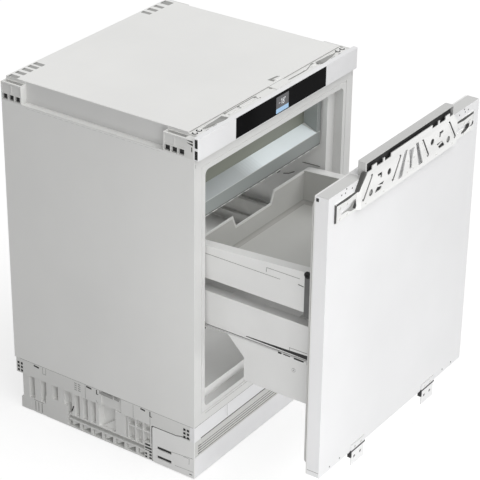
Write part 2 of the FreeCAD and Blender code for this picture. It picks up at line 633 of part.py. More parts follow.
def build_corner(label, side, start, cells, end):
    """One ribbed block in the rebate: deep pockets below, shallow panels above, open at the top."""
    corner = body(label)
    top = "panel_top + corner_height"
    shelf = "panel_top + corner_rib + corner_cell"
    pad(corner, "YZ_Plane", [rect(start, "panel_top", end, top)], *span(side, "cap_half", "half"))
    pockets = corner_row(cells, end, "corner_columns", "panel_top + corner_rib", shelf)
    if cells != start:
        gap = "%s + corner_rib" % start
        pockets.append(rect(gap, "panel_top + corner_rib", gap + " + corner_gap", shelf))
        pockets.append(rect(gap, shelf + " + corner_rib", gap + " + corner_gap", top + " - corner_rib"))
    cut(corner, "YZ_Plane", pockets, *span(side, "half - corner_pocket", "half + " + BUDGE))
    panels = corner_row(cells, end, "corner_panels", shelf + " + corner_rib", top + " - corner_rib")
    cut(corner, "YZ_Plane", panels, *span(side, "half - corner_panel_depth", "half + " + BUDGE))
    well = mirrored(side, rect("cap_half + corner_rib", cells + " + corner_rib", "half - corner_wall",
                               end + " - corner_rib"))
    cut(corner, "XY_Plane", [well], top + " - corner_well", top)


def build_corners():
    """The four ribbed corner blocks."""
    for name, side in SIDES:
        build_corner("corner_block_front_" + name, side, "fascia_back", "fascia_back + corner_plain",
                     "fascia_back + corner_front")
        build_corner("corner_block_rear_" + name, side, "back - corner_rear", "back - corner_rear", "back")


def impeller(label, centre):
    """A fan wheel with pitched blades round a hub, turning on Y about its centre."""
    across, along, up = centre
    rear = "%s - fan_depth / 2" % along
    hub = rod(label + "_hub", "y", "fan_hub", (across, rear, up), "fan_depth")
    bore = rod(label + "_bore", "y", "fan_shaft + fan_running", (across, rear + " - " + BUDGE, up),
               "fan_depth + 2 * " + BUDGE)
    blades = []
    for number in range(SIZES["fan_blades"]):
        blade = doc.addObject("Part::Box", label + "_blade")
        blade.setExpression("Length", linked("fan_blade"))
        blade.setExpression("Width", linked("fan_depth"))
        blade.setExpression("Height", linked("fan_radius - fan_hub / 2"))
        turn = FreeCAD.Rotation(FreeCAD.Vector(0, 1, 0), 360 * number / SIZES["fan_blades"])
        lean = FreeCAD.Rotation(FreeCAD.Vector(0, 0, 1), SIZES["fan_pitch"])
        local = FreeCAD.Vector(-size("fan_blade") / 2, -size("fan_depth") / 2, size("fan_hub / 2"))
        spot = FreeCAD.Vector(size(across), size(along), size(up)) + turn.multVec(lean.multVec(local))
        blade.Placement = FreeCAD.Placement(spot, turn.multiply(lean))
        blades.append(blade)
    slice_low = ("%s - fan_radius" % across, rear, "%s - fan_radius" % up)
    slice_high = ("%s + fan_radius" % across, "%s + fan_depth" % rear, "%s + fan_radius" % up)
    trimmed = doc.addObject("Part::Common", label + "_blades")
    trimmed.Base = fused(label + "_vanes", blades)
    trimmed.Tool = block(label + "_slice", slice_low, slice_high)
    return keep(less(label + "_wheel", fused(label + "_whole", [hub, trimmed]), [bore]), label)


def fan_motor(label, centre, seat):
    """A fan motor behind its wheel, with the shaft that carries it and a seat to what holds it."""
    across, along, up = centre
    face = "%s + motor_face" % along
    case = block(label + "_case", (across + " - motor_half", face, up + " - motor_half"),
                 (across + " + motor_half", face + " + motor_length", up + " + motor_half"))
    shaft = rod(label + "_shaft", "y", "fan_shaft", (across, "%s - fan_depth / 2" % along, up),
                "fan_depth / 2 + motor_face + motor_length / 2")
    return keep(fused(label, [case, shaft] + seat), label)


def build_evaporator():
    """Cover, coil, heater, fan and the air duct below them."""
    start = "front + cover_front"
    stop = "liner_back - cover_back"
    wall = start + " + cover_pocket"
    cover = body("evaporator_cover")
    pad(cover, "YZ_Plane", [rect(start, "cover_floor", stop, "ceiling")], "-(cover_half)", "cover_half")
    chamber = rect(wall + " + cover_skin", "cover_floor + cover_skin", stop + " - cover_skin",
                   "ceiling + " + BUDGE)
    cut(cover, "YZ_Plane", [chamber], "cover_skin - cover_half", "cover_half - cover_skin")
    shelf = [(start + " - " + BUDGE, "cover_lip"), (start, "cover_lip"), (wall, "cover_lip + cover_rise"),
             (wall, "ceiling + " + BUDGE), (start + " - " + BUDGE, "ceiling + " + BUDGE)]
    cut(cover, "YZ_Plane", [shelf], "cover_cheek - cover_half", "cover_half - cover_cheek")
    below = rect(start + " + cover_skin", "cover_floor + cover_skin", wall + " + cover_skin + " + BUDGE,
                 "cover_lip - cover_skin")
    cut(cover, "YZ_Plane", [below], "cover_skin - cover_half", "cover_half - cover_skin")

    base = "cover_floor + cover_skin"
    lift = "4 * heater_tube"
    coil_start = "front + coil_front"
    coil_stop = coil_start + " + coil_depth"
    plates = []
    for name, side in SIDES:
        ends = span(side, "coil_width / 2 - 2 * coil_fin", "coil_width / 2")
        plates.append(block("coil_end", (ends[0], coil_start, base),
                            (ends[1], coil_stop, base + " + coil_height + " + lift)))
    pitch = "coil_width / (coil_fins + 1)"
    for number in range(SIZES["coil_fins"]):
        left = "(%d) * %s - coil_width / 2" % (number + 1, pitch)
        plates.append(block("coil_plate", (left, coil_start, base + " + " + lift),
                            (left + " + coil_fin", coil_stop, base + " + coil_height + " + lift)))
    middle = base + " + coil_height / 2 + " + lift
    for number in range(SIZES["coil_tubes"]):
        along = "%s + coil_depth * %d / (2 * coil_tubes)" % (coil_start, 2 * number + 1)
        plates.append(block("coil_pass",
                            ("-(coil_width / 2)", along + " - 2 * coil_tube", middle + " - coil_tube / 2"),
                            ("coil_width / 2", along + " + 2 * coil_tube", middle + " + coil_tube / 2")))
    keep(fused("coil", plates), "evaporator_coil")

    middle = coil_start + " + coil_depth / 2"
    level = base + " + heater_tube"
    legs = [rod("heater_leg", "x", "heater_tube",
                ("-(heater_length / 2)", middle + sign + "heater_bend", level),
                "heater_length") for sign in (" - ", " + ")]
    legs.append(rod("heater_turn", "y", "heater_tube",
                    ("heater_length / 2", middle + " - heater_bend", level),
                    "2 * heater_bend"))
    keep(fused("heater", legs), "defrost_heater")

    # The motor's plate stands against the inside of the cover's rear wall.
    along = stop + " - cover_skin - motor_plate - motor_length - motor_face"
    centre = ("0", along, "evaporator_fan_level")
    plate_front = stop + " - cover_skin - motor_plate"
    plate = block("motor_seat",
                  ("-(motor_half + motor_arm)", plate_front, "evaporator_fan_level - motor_half"),
                  ("motor_half + motor_arm", stop + " - cover_skin",
                   "evaporator_fan_level + motor_half"))
    fan_motor("evaporator_fan_motor", centre, [plate])
    impeller("evaporator_fan", centre)

    duct = body("rear_air_duct")
    duct_front = "liner_back - duct_depth"
    pad(duct, "XZ_Plane", [rect("-(duct_width / 2)", "duct_foot", "duct_width / 2", "cover_floor")],
        duct_front, "liner_back")
    hollow = rect("duct_skin - duct_width / 2", "duct_foot + duct_skin", "duct_width / 2 - duct_skin",
                  "cover_floor + " + BUDGE)
    cut(duct, "XZ_Plane", [hollow], duct_front + " + duct_skin", "liner_back")
    outlets = []
    for row in range(SIZES["duct_slots"]):
        level = "duct_foot + duct_pitch * %d" % (row + 1)
        for name, side in SIDES:
            outlets.append(mirrored(side,
                                    rect("duct_slot_inner", level, "duct_slot_outer",
                                         level + " + duct_slot")))
    cut(duct, "XZ_Plane", outlets, duct_front + " - " + BUDGE, duct_front + " + duct_skin + " + BUDGE)


def pier(side, start, width):
    """The plan of one pier on a base moulding: a trapezium that narrows towards its face."""
    return mirrored(side, [("base_face", start), ("rib_face", "%s + pier_slant" % start),
                           ("rib_face", "%s + %s - pier_slant" % (start, width)),
                           ("base_face", "%s + %s" % (start, width))])


def build_base_rail(name, side, feet):
    """One side moulding of the base, ribbed and channelled on its outer face."""
    rail = body("base_rail_" + name)
    pad(rail, "YZ_Plane", [rect("liner_front", "floor_gap", "back - base_rear", "trim_foot")],
        *span(side, "base_inner", "base_face"))
    pad(rail, "YZ_Plane", [rect("trim_back", "trim_foot", "back - belt_rear", "base_height")],
        *span(side, "base_inner", "half"))
    proud = span(side, "base_face", "rib_face")
    rib = rect("front + rib_start", "channel_high", "front + rib_start + rib_width", "trim_foot")
    patterned(rail, pad(rail, "YZ_Plane", [rib], *proud), "Y_Axis", "rib_pitch * (rib_count - 1)",
              "rib_count")
    narrow = pad(rail, "XY_Plane", [pier(side, "front + pier_start", "pier_width")], "channel_high",
                 "trim_foot")
    patterned(rail, narrow, "Y_Axis", "pier_pitch * (pier_count - 1)", "pier_count")
    wide = pad(rail, "XY_Plane", [pier(side, "front + column_start", "column_width")], "floor_gap",
               "trim_foot")
    patterned(rail, wide, "Y_Axis", "column_pitch * (column_count - 1)", "column_count")
    pad(rail, "XY_Plane", [pier(side, "front + brace_start", "brace_width")], "channel_high", "trim_foot")
    lump = rect("front + block_start", "floor_gap", "front + block_start + block_width", "channel_low")
    patterned(rail, pad(rail, "YZ_Plane", [lump], *proud), "Y_Axis", "block_pitch * (block_count - 1)",
              "block_count")
    rib_end = "front + rib_start + rib_pitch * (rib_count - 1) + rib_width"
    flats = [rect("front + rib_start", "channel_high", "front + channel_end", "channel_high + ledge"),
             rect("front + rib_start", "shelf_level", rib_end, "shelf_level + rib_width"),
             rect("front + block_start", "floor_gap", "front + smooth_start", "floor_gap + ledge"),
             rect("front + block_start", "channel_low - ledge", "front + channel_end", "channel_low"),
             rect("front + smooth_start", "floor_gap", "front + smooth_end", "smooth_top"),
             rect("front + heel_start", "floor_gap", "back - base_rear", "heel_top")]
    pad(rail, "YZ_Plane", flats, *proud)

    # Snap slots and the long window in the belt, and the open cells at both its ends.
    slot_top = "base_height - belt_slot_drop"
    slots = []
    for number in range(SIZES["belt_slots"]):
        left = "front + belt_slot_start + belt_slot_pitch * %d" % number
        slots.append(rect(left, slot_top + " - belt_slot_height", left + " + belt_slot_width", slot_top))
    slots.append(rect("front + belt_window_start", "base_height - belt_window_top",
                      "front + belt_window_end",
                      "base_height"))
    step = "(belt_cell + belt_cell_rib)"
    for end in ("trim_back + belt_cell_rib", "back - belt_rear - 2 * " + step):
        for column in range(2):
            for row in range(3):
                left = "%s + %d * %s" % (end, column, step)
                low = "trim_foot + belt_cell_rib + %d * %s" % (row, step)
                slots.append(rect(left, low, left + " + belt_cell", low + " + belt_cell"))
    cut(rail, "YZ_Plane", slots, *span(side, "base_face", "half"))
    window = rect("front + belt_window_start", "trim_foot - " + BUDGE, "front + belt_window_end",
                  "base_height - belt_window_top")
    cut(rail, "YZ_Plane", [window], *span(side, "half - belt_window_depth", "half"))

    axis = "foot_axis"
    wells = [mirrored(side, rect(axis + " - foot_pocket", along + " - foot_pocket", axis + " + foot_pocket",
                                 along + " + foot_pocket")) for end, along in feet]
    cut(rail, "XY_Plane", wells, "floor_gap", "floor_gap + foot_pocket_depth")
    bores = [Circle(flip(side, axis), along, "foot_stem + foot_running") for end, along in feet]
    cut(rail, "XY_Plane", bores, "floor_gap", "foot_top + foot_headroom")


def build_base():
    """Side mouldings, their covers, the levelling feet, grille and toe kick."""
    feet = (("front", "front + foot_front"), ("rear", "back - foot_rear"))
    for name, side in SIDES:
        build_base_rail(name, side, feet)
        cover = body("base_cover_" + name)
        pad(cover, "YZ_Plane", [rect("front", "floor_gap", "front + cover_length", "trim_foot")],
            *span(side, "half - side_cover_skin", "half"))
        soften(cover, "cover_radius",
               lambda edge: runs_along(edge, 0) and edge.BoundBox.YMin > size("liner_front"))
        slots = [rect("front + cover_slot_start", level, "front + cover_slot_end",
                      level + " + cover_slot_width")
                 for level in ("cover_slot_low", "cover_slot_high")]
        cut(cover, "YZ_Plane", slots, *span(side, "half - side_cover_skin - " + BUDGE, "half + " + BUDGE))

        for end, along in feet:
            label = "foot_%s_%s" % (end, name)
            spot = flip(side, "foot_axis")
            nut = prism(label + "_nut", "foot_sides", "foot_radius", (spot, along, "0"), "foot_height")
            stem = rod(label + "_stem", "z", "foot_stem", (spot, along, "foot_height / 2"),
                       "foot_top - foot_height / 2")
            keep(fused(label + "_whole", [nut, stem]), label)

    toe = body("toe_kick")
    reach = "half - side_cover_skin"
    pad(toe, "XZ_Plane", [rect("-(%s)" % reach, "floor_gap", reach, "toe_top")], "front",
        "front + toe_depth")
    hollow = rect("toe_skin - (%s)" % reach, "floor_gap + toe_skin", reach + " - toe_skin",
                  "toe_top - toe_skin")
    cut(toe, "XZ_Plane", [hollow], "front + toe_skin", "front + toe_depth")

    grille = body("vent_grille")
    reach = "half - grille_inset"
    face = "front + grille_setback"
    pad(grille, "XZ_Plane", [rect("-(%s)" % reach, "toe_top", reach, "trim_foot")], face,
        face + " + grille_depth")
    gaps = []
    third = "(%s - louvre_end) * 2 / 3" % reach
    for row in range(SIZES["louvre_count"]):
        low = "toe_top + louvre_start + louvre_pitch * %d" % row
        for column in range(3):
            left = "louvre_end - (%s) + %s * %d" % (reach, third, column)
            gaps.append(rect(left, low, left + " + %s - louvre_bar" % third, low + " + louvre_gap"))
    cut(grille, "XZ_Plane", gaps, face + " - " + BUDGE, face + " + grille_depth + " + BUDGE)


def build_compressor(along):
    """Hermetic compressor: a round shell with a sloped crown on a plate, over four rubber mounts."""
    deck = "tray_top + mount_height"
    rubbers = []
    for wide in "+-":
        for deep in "+-":
            spot = ("compressor_axis %s mount_span / 2" % wide, "%s %s mount_depth / 2" % (along, deep),
                    "tray_top")
            rubbers.append(prism("grommet", "mount_sides", "mount_radius", spot, "mount_height"))
    keep(fused("grommets", rubbers), "compressor_mounts")

    waist = deck + " + compressor_dome"
    crown = waist + " + compressor_waist"
    shell = [rod("shell", "z", "compressor_radius", ("compressor_axis", along, deck),
                 "compressor_dome + compressor_waist")]
    dome = doc.addObject("Part::Cone", "dome")
    dome.setExpression("Radius1", linked("compressor_radius"))
    dome.setExpression("Radius2", linked("dome_end_radius"))
    dome.setExpression("Height", linked("compressor_dome"))
    for name, text in (("x", "compressor_axis"), ("y", along), ("z", crown)):
        dome.setExpression("Placement.Base." + name, linked(text))
    shell.append(dome)
    deep = "(mount_depth / 2 + compressor_edge)"
    shell.append(block("feet_plate", ("compressor_axis - compressor_half", "%s - %s" % (along, deep), deck),
                       ("compressor_axis + compressor_half", "%s + %s" % (along, deep),
                        deck + " + compressor_plate")))
    edge = "compressor_axis + compressor_radius"
    low = waist + " + terminal_lift"
    shell.append(block("terminals", (edge + " - terminal_depth / 2", along + " - terminal_width / 2", low),
                       (edge + " + terminal_depth / 2", along + " + terminal_width / 2",
                        low + " + terminal_height")))
    keep(fused("compressor_whole", shell), "compressor")

    pan = body("drain_tray")
    low = crown + " + compressor_dome"
    wide = "drain_width / 2"
    deep = "drain_depth / 2"
    pad(pan, "XY_Plane",
        [rect("compressor_axis - " + wide, "%s - %s" % (along, deep), "compressor_axis + " + wide,
              "%s + %s" % (along, deep))], low, low + " + drain_height")
    inside = rect("compressor_axis - %s + drain_skin" % wide, "%s - %s + drain_skin" % (along, deep),
                  "compressor_axis + %s - drain_skin" % wide, "%s + %s - drain_skin" % (along, deep))
    cut(pan, "XY_Plane", [inside], low + " + drain_skin", low + " + drain_height")


def build_condenser():
    """Flat-tube condenser between two headers, with its fan and motor behind it."""
    near = "front + condenser_front"
    bars = []
    for spot in ("condenser_left", "condenser_left + condenser_width"):
        bars.append(block("header", (spot + " - condenser_header", near, "tray_top"),
                          (spot + " + condenser_header", near + " + condenser_depth",
                           "tray_top + condenser_height")))
    for number in range(SIZES["condenser_tubes"]):
        middle = "tray_top + condenser_height * %d / (2 * condenser_tubes)" % (2 * number + 1)
        low = middle + " - condenser_tube / 2"
        bars.append(block("flat_tube", ("condenser_left", near, low),
                          ("condenser_left + condenser_width", near + " + condenser_depth",
                           low + " + condenser_tube")))
    margin = "condenser_height / (2 * condenser_tubes)"
    for number in range(SIZES["condenser_fins"]):
        across = "condenser_left + condenser_width * %d / (condenser_fins + 1)" % (number + 1)
        bars.append(block("fin", (across, near, "tray_top + " + margin),
                          (across + " + condenser_fin", near + " + condenser_depth",
                           "tray_top + condenser_height - " + margin)))
    keep(fused("condenser_core", bars), "condenser")

    centre = ("condenser_axis", "front + condenser_fan_back", "condenser_fan_level")
    face = centre[1] + " + motor_face"
    pillar = block("motor_post", ("condenser_axis - motor_arm", face, "tray_top"),
                   ("condenser_axis + motor_arm", face + " + motor_length", "condenser_fan_level"))
    fan_motor("condenser_fan_motor", centre, [pillar])
    impeller("condenser_fan", centre)


def build_machine():
    """Tray in the base, compressor, condenser and mains inlet."""
    tray = body("base_tray")
    rim = "tray_level + tray_wall"
    bend = [("-(base_inner)", "tray_level"), ("base_inner", "tray_level"), ("base_inner", rim),
            ("tray_half", rim),
            ("tray_half", "tray_top"), ("-(tray_half)", "tray_top"), ("-(tray_half)", rim),
            ("-(base_inner)", rim)]
    pad(tray, "XZ_Plane", [bend], "front + tray_front", "back - tray_back")
    build_compressor("back - compressor_back")
    build_condenser()

    inlet = body("power_inlet")
    rear = "back - tray_back"
    right = "inlet_left + inlet_width"
    top = "tray_top + inlet_height"
    pad(inlet, "XZ_Plane", [rect("inlet_left", "tray_top", right, top)], rear + " - inlet_depth", rear)
    mouth = rect("inlet_left + inlet_wall", "tray_top + inlet_wall", right + " - inlet_wall",
                 top + " - inlet_wall")
    cut(inlet, "XZ_Plane", [mouth], rear + " - inlet_recess", rear)
    pins = []
    for place in (-1, 0, 1):
        across = "inlet_left + inlet_width / 2 + %d * inlet_pitch" % place
        level = "tray_top + inlet_height / 2"
        pins.append(rect(across + " - inlet_pin / 2", level + " - inlet_pin", across + " + inlet_pin / 2",
                         level + " + inlet_pin"))
    pad(inlet, "XZ_Plane", pins, rear + " - inlet_recess - " + BUDGE, rear + " - inlet_wall")


def build_slides():
    """Telescopic rails on both sides: fixed rail on the liner, middle rail, runner in the carrier frame."""
    lip = "rail_web - rail_skin - rail_lip"
    top = "rail_level + rail_height"
    inset = "rail_skin + rail_running"
    for name, side in SIDES:
        fixed = body("fixed_rail_" + name)
        wall = "inner_half"
        bracket = "bracket_level + rail_skin"
        section = [(lip, top), ("rail_web", top), ("rail_web", bracket), (wall, bracket),
                   (wall, "bracket_level - bracket_drop"),
                   (wall + " - rail_skin", "bracket_level - bracket_drop"),
                   (wall + " - rail_skin", "bracket_level"), ("rail_web - rail_skin", "bracket_level"),
                   ("rail_web - rail_skin", "rail_level"), (lip, "rail_level"),
                   (lip, "rail_level + rail_skin"),
                   ("rail_web - rail_skin", "rail_level + rail_skin"),
                   ("rail_web - rail_skin", top + " - rail_skin"),
                   (lip, top + " - rail_skin")]
        pad(fixed, "XZ_Plane", [mirrored(side, section)], "front + fixed_start",
            "liner_back - fixed_end_gap")

        slider = body("middle_rail_" + name)
        web = "rail_web - rail_skin - rail_running"
        low = "rail_level + " + inset
        high = top + " - (%s)" % inset
        section = [(lip, high), (web, high), (web, low), (lip, low), (lip, low + " + rail_skin"),
                   (web + " - rail_skin", low + " + rail_skin"),
                   (web + " - rail_skin", high + " - rail_skin"),
                   (lip, high + " - rail_skin")]
        start = "front + slider_start - pull_out / 2"
        pad(slider, "XZ_Plane", [mirrored(side, section)], start, start + " + slider_length")

        runner = body("drawer_rail_" + name)
        seat = "frame_inner + channel_skin"
        reach = web + " - rail_skin - rail_running"
        low = "rail_level + 2 * (%s)" % inset
        high = top + " - 2 * (%s)" % inset
        section = [(seat, low), (reach, low), (reach, low + " + rail_skin"),
                   (seat + " + rail_skin", low + " + rail_skin"),
                   (seat + " + rail_skin", high + " - rail_skin"), (reach, high + " - rail_skin"),
                   (reach, high),
                   (seat, high)]
        pad(runner, "XZ_Plane", [mirrored(side, section)], "door_back + runner_start", "drawer_rear")

        frame = body("carrier_frame_" + name)
        channels = []
        for foot, head in (("upper_foot", "upper_top"), ("lower_foot", "lower_top")):
            channels.append(mirrored(side, [
                ("frame_outer", foot), ("frame_outer", head), ("frame_inner", head), ("frame_inner", foot),
                ("frame_inner + channel_skin", foot),
                ("frame_inner + channel_skin", head + " - channel_skin"),
                ("frame_outer - channel_skin", head + " - channel_skin"),
                ("frame_outer - channel_skin", foot)]))
        plate = rect("frame_inner", "lower_foot", "frame_outer", "upper_top")
        pad(frame, "XZ_Plane", [mirrored(side, plate)], "door_back", "door_back + end_plate")
        pad(frame, "XZ_Plane", channels, "door_back + end_plate", "drawer_rear")


def build_tubs():
    """The upper drawer tub with its raised front rim and the deep lower tub."""
    outer = "tub_half"
    inner = "tub_half - tub_skin"
    rim = "frame_outer"
    upper = body("upper_tub")
    side_view = [("tub_face", "upper_floor"), ("drawer_rear", "upper_floor"),
                 ("drawer_rear", "upper_rear_rim"),
                 ("tub_face", "upper_front_rim")]
    pad(upper, "YZ_Plane", [side_view], "-(%s)" % outer, outer)
    soften(upper, "tub_bottom_radius", lambda edge: edge.BoundBox.ZMax < size("upper_floor + tub_skin"))
    skirt = [("tub_face", "upper_top"), ("drawer_rear", "upper_top"), ("drawer_rear", "upper_rear_rim"),
             ("tub_face", "upper_front_rim")]
    pad(upper, "YZ_Plane", [skirt], "-(%s)" % rim, rim)
    room = [("tub_face + tub_skin", "upper_floor + tub_skin"),
            ("drawer_rear - tub_skin", "upper_floor + tub_skin"),
            ("drawer_rear - tub_skin", "upper_front_rim + " + BUDGE),
            ("tub_face + tub_skin", "upper_front_rim + " + BUDGE)]
    cut(upper, "YZ_Plane", [room], "-(%s)" % inner, inner)
    soften(upper, "tub_bottom_radius - tub_skin",
           lambda edge: on_floor(edge,
                                 "upper_floor + tub_skin") and abs(edge.BoundBox.Center.x) < size(outer))
    under = [("tub_face + tub_skin", "upper_top - " + BUDGE),
             ("drawer_rear - tub_skin", "upper_top - " + BUDGE),
             ("drawer_rear - tub_skin", "upper_rear_rim - tub_skin"),
             ("tub_face + tub_skin", "upper_front_rim - tub_skin")]
    for name, side in SIDES:
        cut(upper, "YZ_Plane", [under], *span(side, outer, rim + " - tub_skin"))
    dip = [("-(dip_half)", "upper_front_rim"), ("dip_half", "upper_front_rim"),
           ("dip_half", "upper_rear_rim"),
           ("dip_half - dip_slant", "dip_level"), ("dip_slant - dip_half", "dip_level"),
           ("-(dip_half)", "upper_rear_rim")]
    cut(upper, "XZ_Plane", [dip], "drawer_rear - tub_skin - " + BUDGE, "drawer_rear")

    lower = body("lower_tub")
    wide = "frame_outer - tub_skin / 2"
    slope = "deep_rear + lower_shelf - lower_knee"
    deep = [("tub_face", "lower_floor"), ("deep_rear", "lower_floor"), ("deep_rear", "lower_knee"),
            (slope, "lower_shelf"), ("drawer_rear", "lower_shelf"),
            ("drawer_rear", "lower_shelf + shoulder"),
            ("tub_face", "lower_shelf + shoulder")]
    pad(lower, "YZ_Plane", [deep], "-(%s)" % wide, wide)
    soften(lower, "tub_bottom_radius", lambda edge: edge.BoundBox.ZMax < size("lower_floor + tub_skin"))
    pad(lower, "YZ_Plane", [rect("tub_face", "lower_shelf", "drawer_rear", "lower_top + tub_skin")],
        "-(%s)" % outer, outer)
    pad(lower, "YZ_Plane", [rect("tub_face", "lower_top", "drawer_rear", "lower_top + tub_skin")],
        "-(%s)" % rim, rim)
    room = [("tub_face + tub_skin", "lower_floor + tub_skin"),
            ("deep_rear - tub_skin", "lower_floor + tub_skin"),
            ("deep_rear - tub_skin", "lower_knee + 0.41421356 * tub_skin"),
            (slope + " - tub_skin * 1.41421356", "lower_shelf + shoulder - tub_skin"),
            ("tub_face + tub_skin", "lower_shelf + shoulder - tub_skin")]
    cut(lower, "YZ_Plane", [room], "tub_skin - (%s)" % wide, wide + " - tub_skin")
    soften(lower, "tub_bottom_radius - tub_skin", lambda edge: on_floor(edge, "lower_floor + tub_skin"))
    above = [("tub_face + tub_skin", "lower_shelf + shoulder - tub_skin - " + BUDGE),
             (slope + " - tub_skin * 1.41421356", "lower_shelf + shoulder - tub_skin - " + BUDGE),
             (slope, "lower_shelf + tub_skin"), ("drawer_rear - tub_skin", "lower_shelf + tub_skin"),
             ("drawer_rear - tub_skin", "lower_top + tub_skin + " + BUDGE),
             ("tub_face + tub_skin", "lower_top + tub_skin + " + BUDGE)]
    cut(lower, "YZ_Plane", [above], "-(%s)" % inner, inner)


def build_door():
    """Pulled-out front: skin, inner lining, insulation and seal."""
    inner_face = "door_back - door_liner_skin"
    around = rect("-(door_half)", "door_foot", "door_half", "door_top")
    skin = body("door_panel")
    pad(skin, "XZ_Plane", [around], "door_face", inner_face)
    soften(skin, "door_radius", lambda edge: runs_along(edge, 1))
    hollow = rect("door_skin - door_half", "door_foot + door_skin", "door_half - door_skin",
                  "door_top - door_skin")
    cut(skin, "XZ_Plane", [hollow], "door_face + door_skin", inner_face)
    lining = body("door_lining")
    pad(lining, "XZ_Plane", [around], inner_face, "door_back")
    soften(lining, "door_radius", lambda edge: runs_along(edge, 1))
    foam = body("door_foam")
    pad(foam, "XZ_Plane", [hollow], "door_face + door_skin", inner_face)
    seal = body("door_seal")
    edge = "half - seal_inset"
    low = "base_height + seal_margin"
    high = "panel_top - seal_margin"
    ring = rect("-(%s)" % edge, low, edge, high)
    middle = rect("seal_width - (%s)" % edge, low + " + seal_width", edge + " - seal_width",
                  high + " - seal_width")
    pad(seal, "XZ_Plane", [ring, middle], "door_back", "door_back + seal_depth")


def build_fixing_rail():
    """Bent sheet rail for a furniture front: flat screw pads, a raised middle and its cut-outs."""
    rail = body("fixing_rail")
    bend = [("rail_half", "door_face"), ("joggle_outer - rail_sheet / 2", "door_face"),
            ("joggle_inner - rail_sheet / 2", "door_face - rail_standoff")]
    face = [("joggle_inner", "rail_front"), ("joggle_outer", "door_face - rail_sheet"),
            ("rail_half", "door_face - rail_sheet")]
    plan = mirrored(RIGHT, bend) + mirrored(LEFT, bend[::-1]) + mirrored(LEFT,
                                                                         face[::-1]) + mirrored(RIGHT, face)
    pad(rail, "XY_Plane", [plan], "rail_foot", "rail_top")
    start = "rail_front - " + BUDGE
    stop = "door_face + " + BUDGE
    trims = []
    for name, side in SIDES:
        above = [("rail_half + " + BUDGE, "pad_top"), ("joggle_outer + pad_step", "pad_top"),
                 ("shoulder_half", "shoulder_level"), ("shoulder_half", "rail_top + " + BUDGE),
                 ("rail_half + " + BUDGE, "rail_top + " + BUDGE)]
        end = [("rail_half + " + BUDGE, "rail_foot - " + BUDGE),
               ("rail_half + " + BUDGE, "pad_top - rail_sheet"),
               ("rail_half - pad_taper", "rail_foot - " + BUDGE)]
        trims.append(mirrored(side, above))
        trims.append(mirrored(side, end))
    cut(rail, "XZ_Plane", trims, start, stop)

    def up(height):
        return "rail_foot + " + height

    holes = []
    necks = []
    for name, side in SIDES:
        bone = [flip(side, "rail_half - bone_margin"), flip(side, "joggle_outer + bone_step")]
        for across in bone:
            holes.append(Circle(across, up("bone_height"), "bone_end"))
        necks.append(Slot(bone[0], up("bone_height"), bone[1], up("bone_height"), "bone_neck"))
        for high, low in (("slant_outer_high", "slant_outer_low"), ("slant_inner_high", "slant_inner_low")):
            holes.append(Slot(flip(side, high), up("slant_high"), flip(side, low), up("slant_low"),
                              "slant_radius"))
        holes.append(Circle(flip(side, "rail_hole"), up("rail_hole_height"), "rail_hole_radius"))
        holes.append(Circle(flip(side, "port"), up("port_height"), "port_radius"))
        hook = [("hook_outer", up("hook_high")), ("hook_inner", up("hook_high")),
                ("hook_inner", up("hook_low")),
                ("hook_inner + hook_arm", up("hook_low")),
                ("hook_inner + hook_arm", up("hook_high - hook_arm")),
                ("hook_outer", up("hook_high - hook_arm"))]
        wedge = [("wedge_outer", up("wedge_low")), ("wedge_inner + wedge_slant", up("wedge_low")),
                 ("wedge_inner", up("wedge_high")), ("wedge_outer - wedge_slant", up("wedge_high"))]
        window = [("window_high_inner", up("window_high")), ("window_high_outer", up("window_high")),
                  ("window_low_outer", up("window_low")), ("window_low_inner", up("window_low"))]
        holes += [mirrored(side, hook), mirrored(side, wedge), mirrored(side, window)]
        for middle in ("notch_outer", "notch_inner", "notch_edge"):
            holes.append(mirrored(side, rect(middle + " - notch_width / 2", "rail_top - notch_depth",
                                             middle + " + notch_width / 2", "rail_top + " + BUDGE)))
    key = [("key_wide", up("key_high")), ("key_waist", up("key_mid")), ("key_foot", up("key_low"))]
    holes.append(mirrored(RIGHT, key) + mirrored(LEFT, key[::-1]))
    cut(rail, "XZ_Plane", holes, start, stop)
    cut(rail, "XZ_Plane", necks, start, stop)

    box = body("mount_box")
    face = "door_face - rail_standoff"
    pad(box, "XY_Plane", [rect("-(box_half)", face, "box_half", face + " + box_depth")], "door_top",
        "door_top + box_height")
    soften(box, "box_radius", lambda edge: runs_along(edge, 2))
    inside = rect("box_skin - box_half", "%s - %s" % (face, BUDGE), "box_half - box_skin",
                  face + " + box_depth - box_skin")
    cut(box, "XY_Plane", [inside], "door_top", "door_top + box_height - box_skin")

    sheets = []
    for name, side in SIDES:
        left = flip(side, "lower_clip") + " - lower_clip_width / 2"
        right = left + " + lower_clip_width"
        tongue = block("clip_tongue", (left, "door_face - rail_sheet", "door_foot - lower_clip_drop"),
                       (right, "door_face", "door_foot + lower_clip_lap"))
        foot = block("clip_foot", (left, "door_face - rail_sheet", "door_foot - rail_sheet"),
                     (right, "door_face + lower_clip_return", "door_foot"))
        level = "door_foot - lower_clip_drop / 2"
        holes = [rod("clip_hole", "y", "lower_clip_hole",
                     (flip(side, "lower_clip") + sign + "lower_clip_pitch / 2",
                      "door_face - rail_sheet - " + BUDGE, level),
                     "rail_sheet + 2 * " + BUDGE) for sign in (" - ", " + ")]
        sheets.append(less("clip_" + name, fused("clip_sheet_" + name, [tongue, foot]), holes))
    keep(fused("clips", sheets), "bottom_clips")


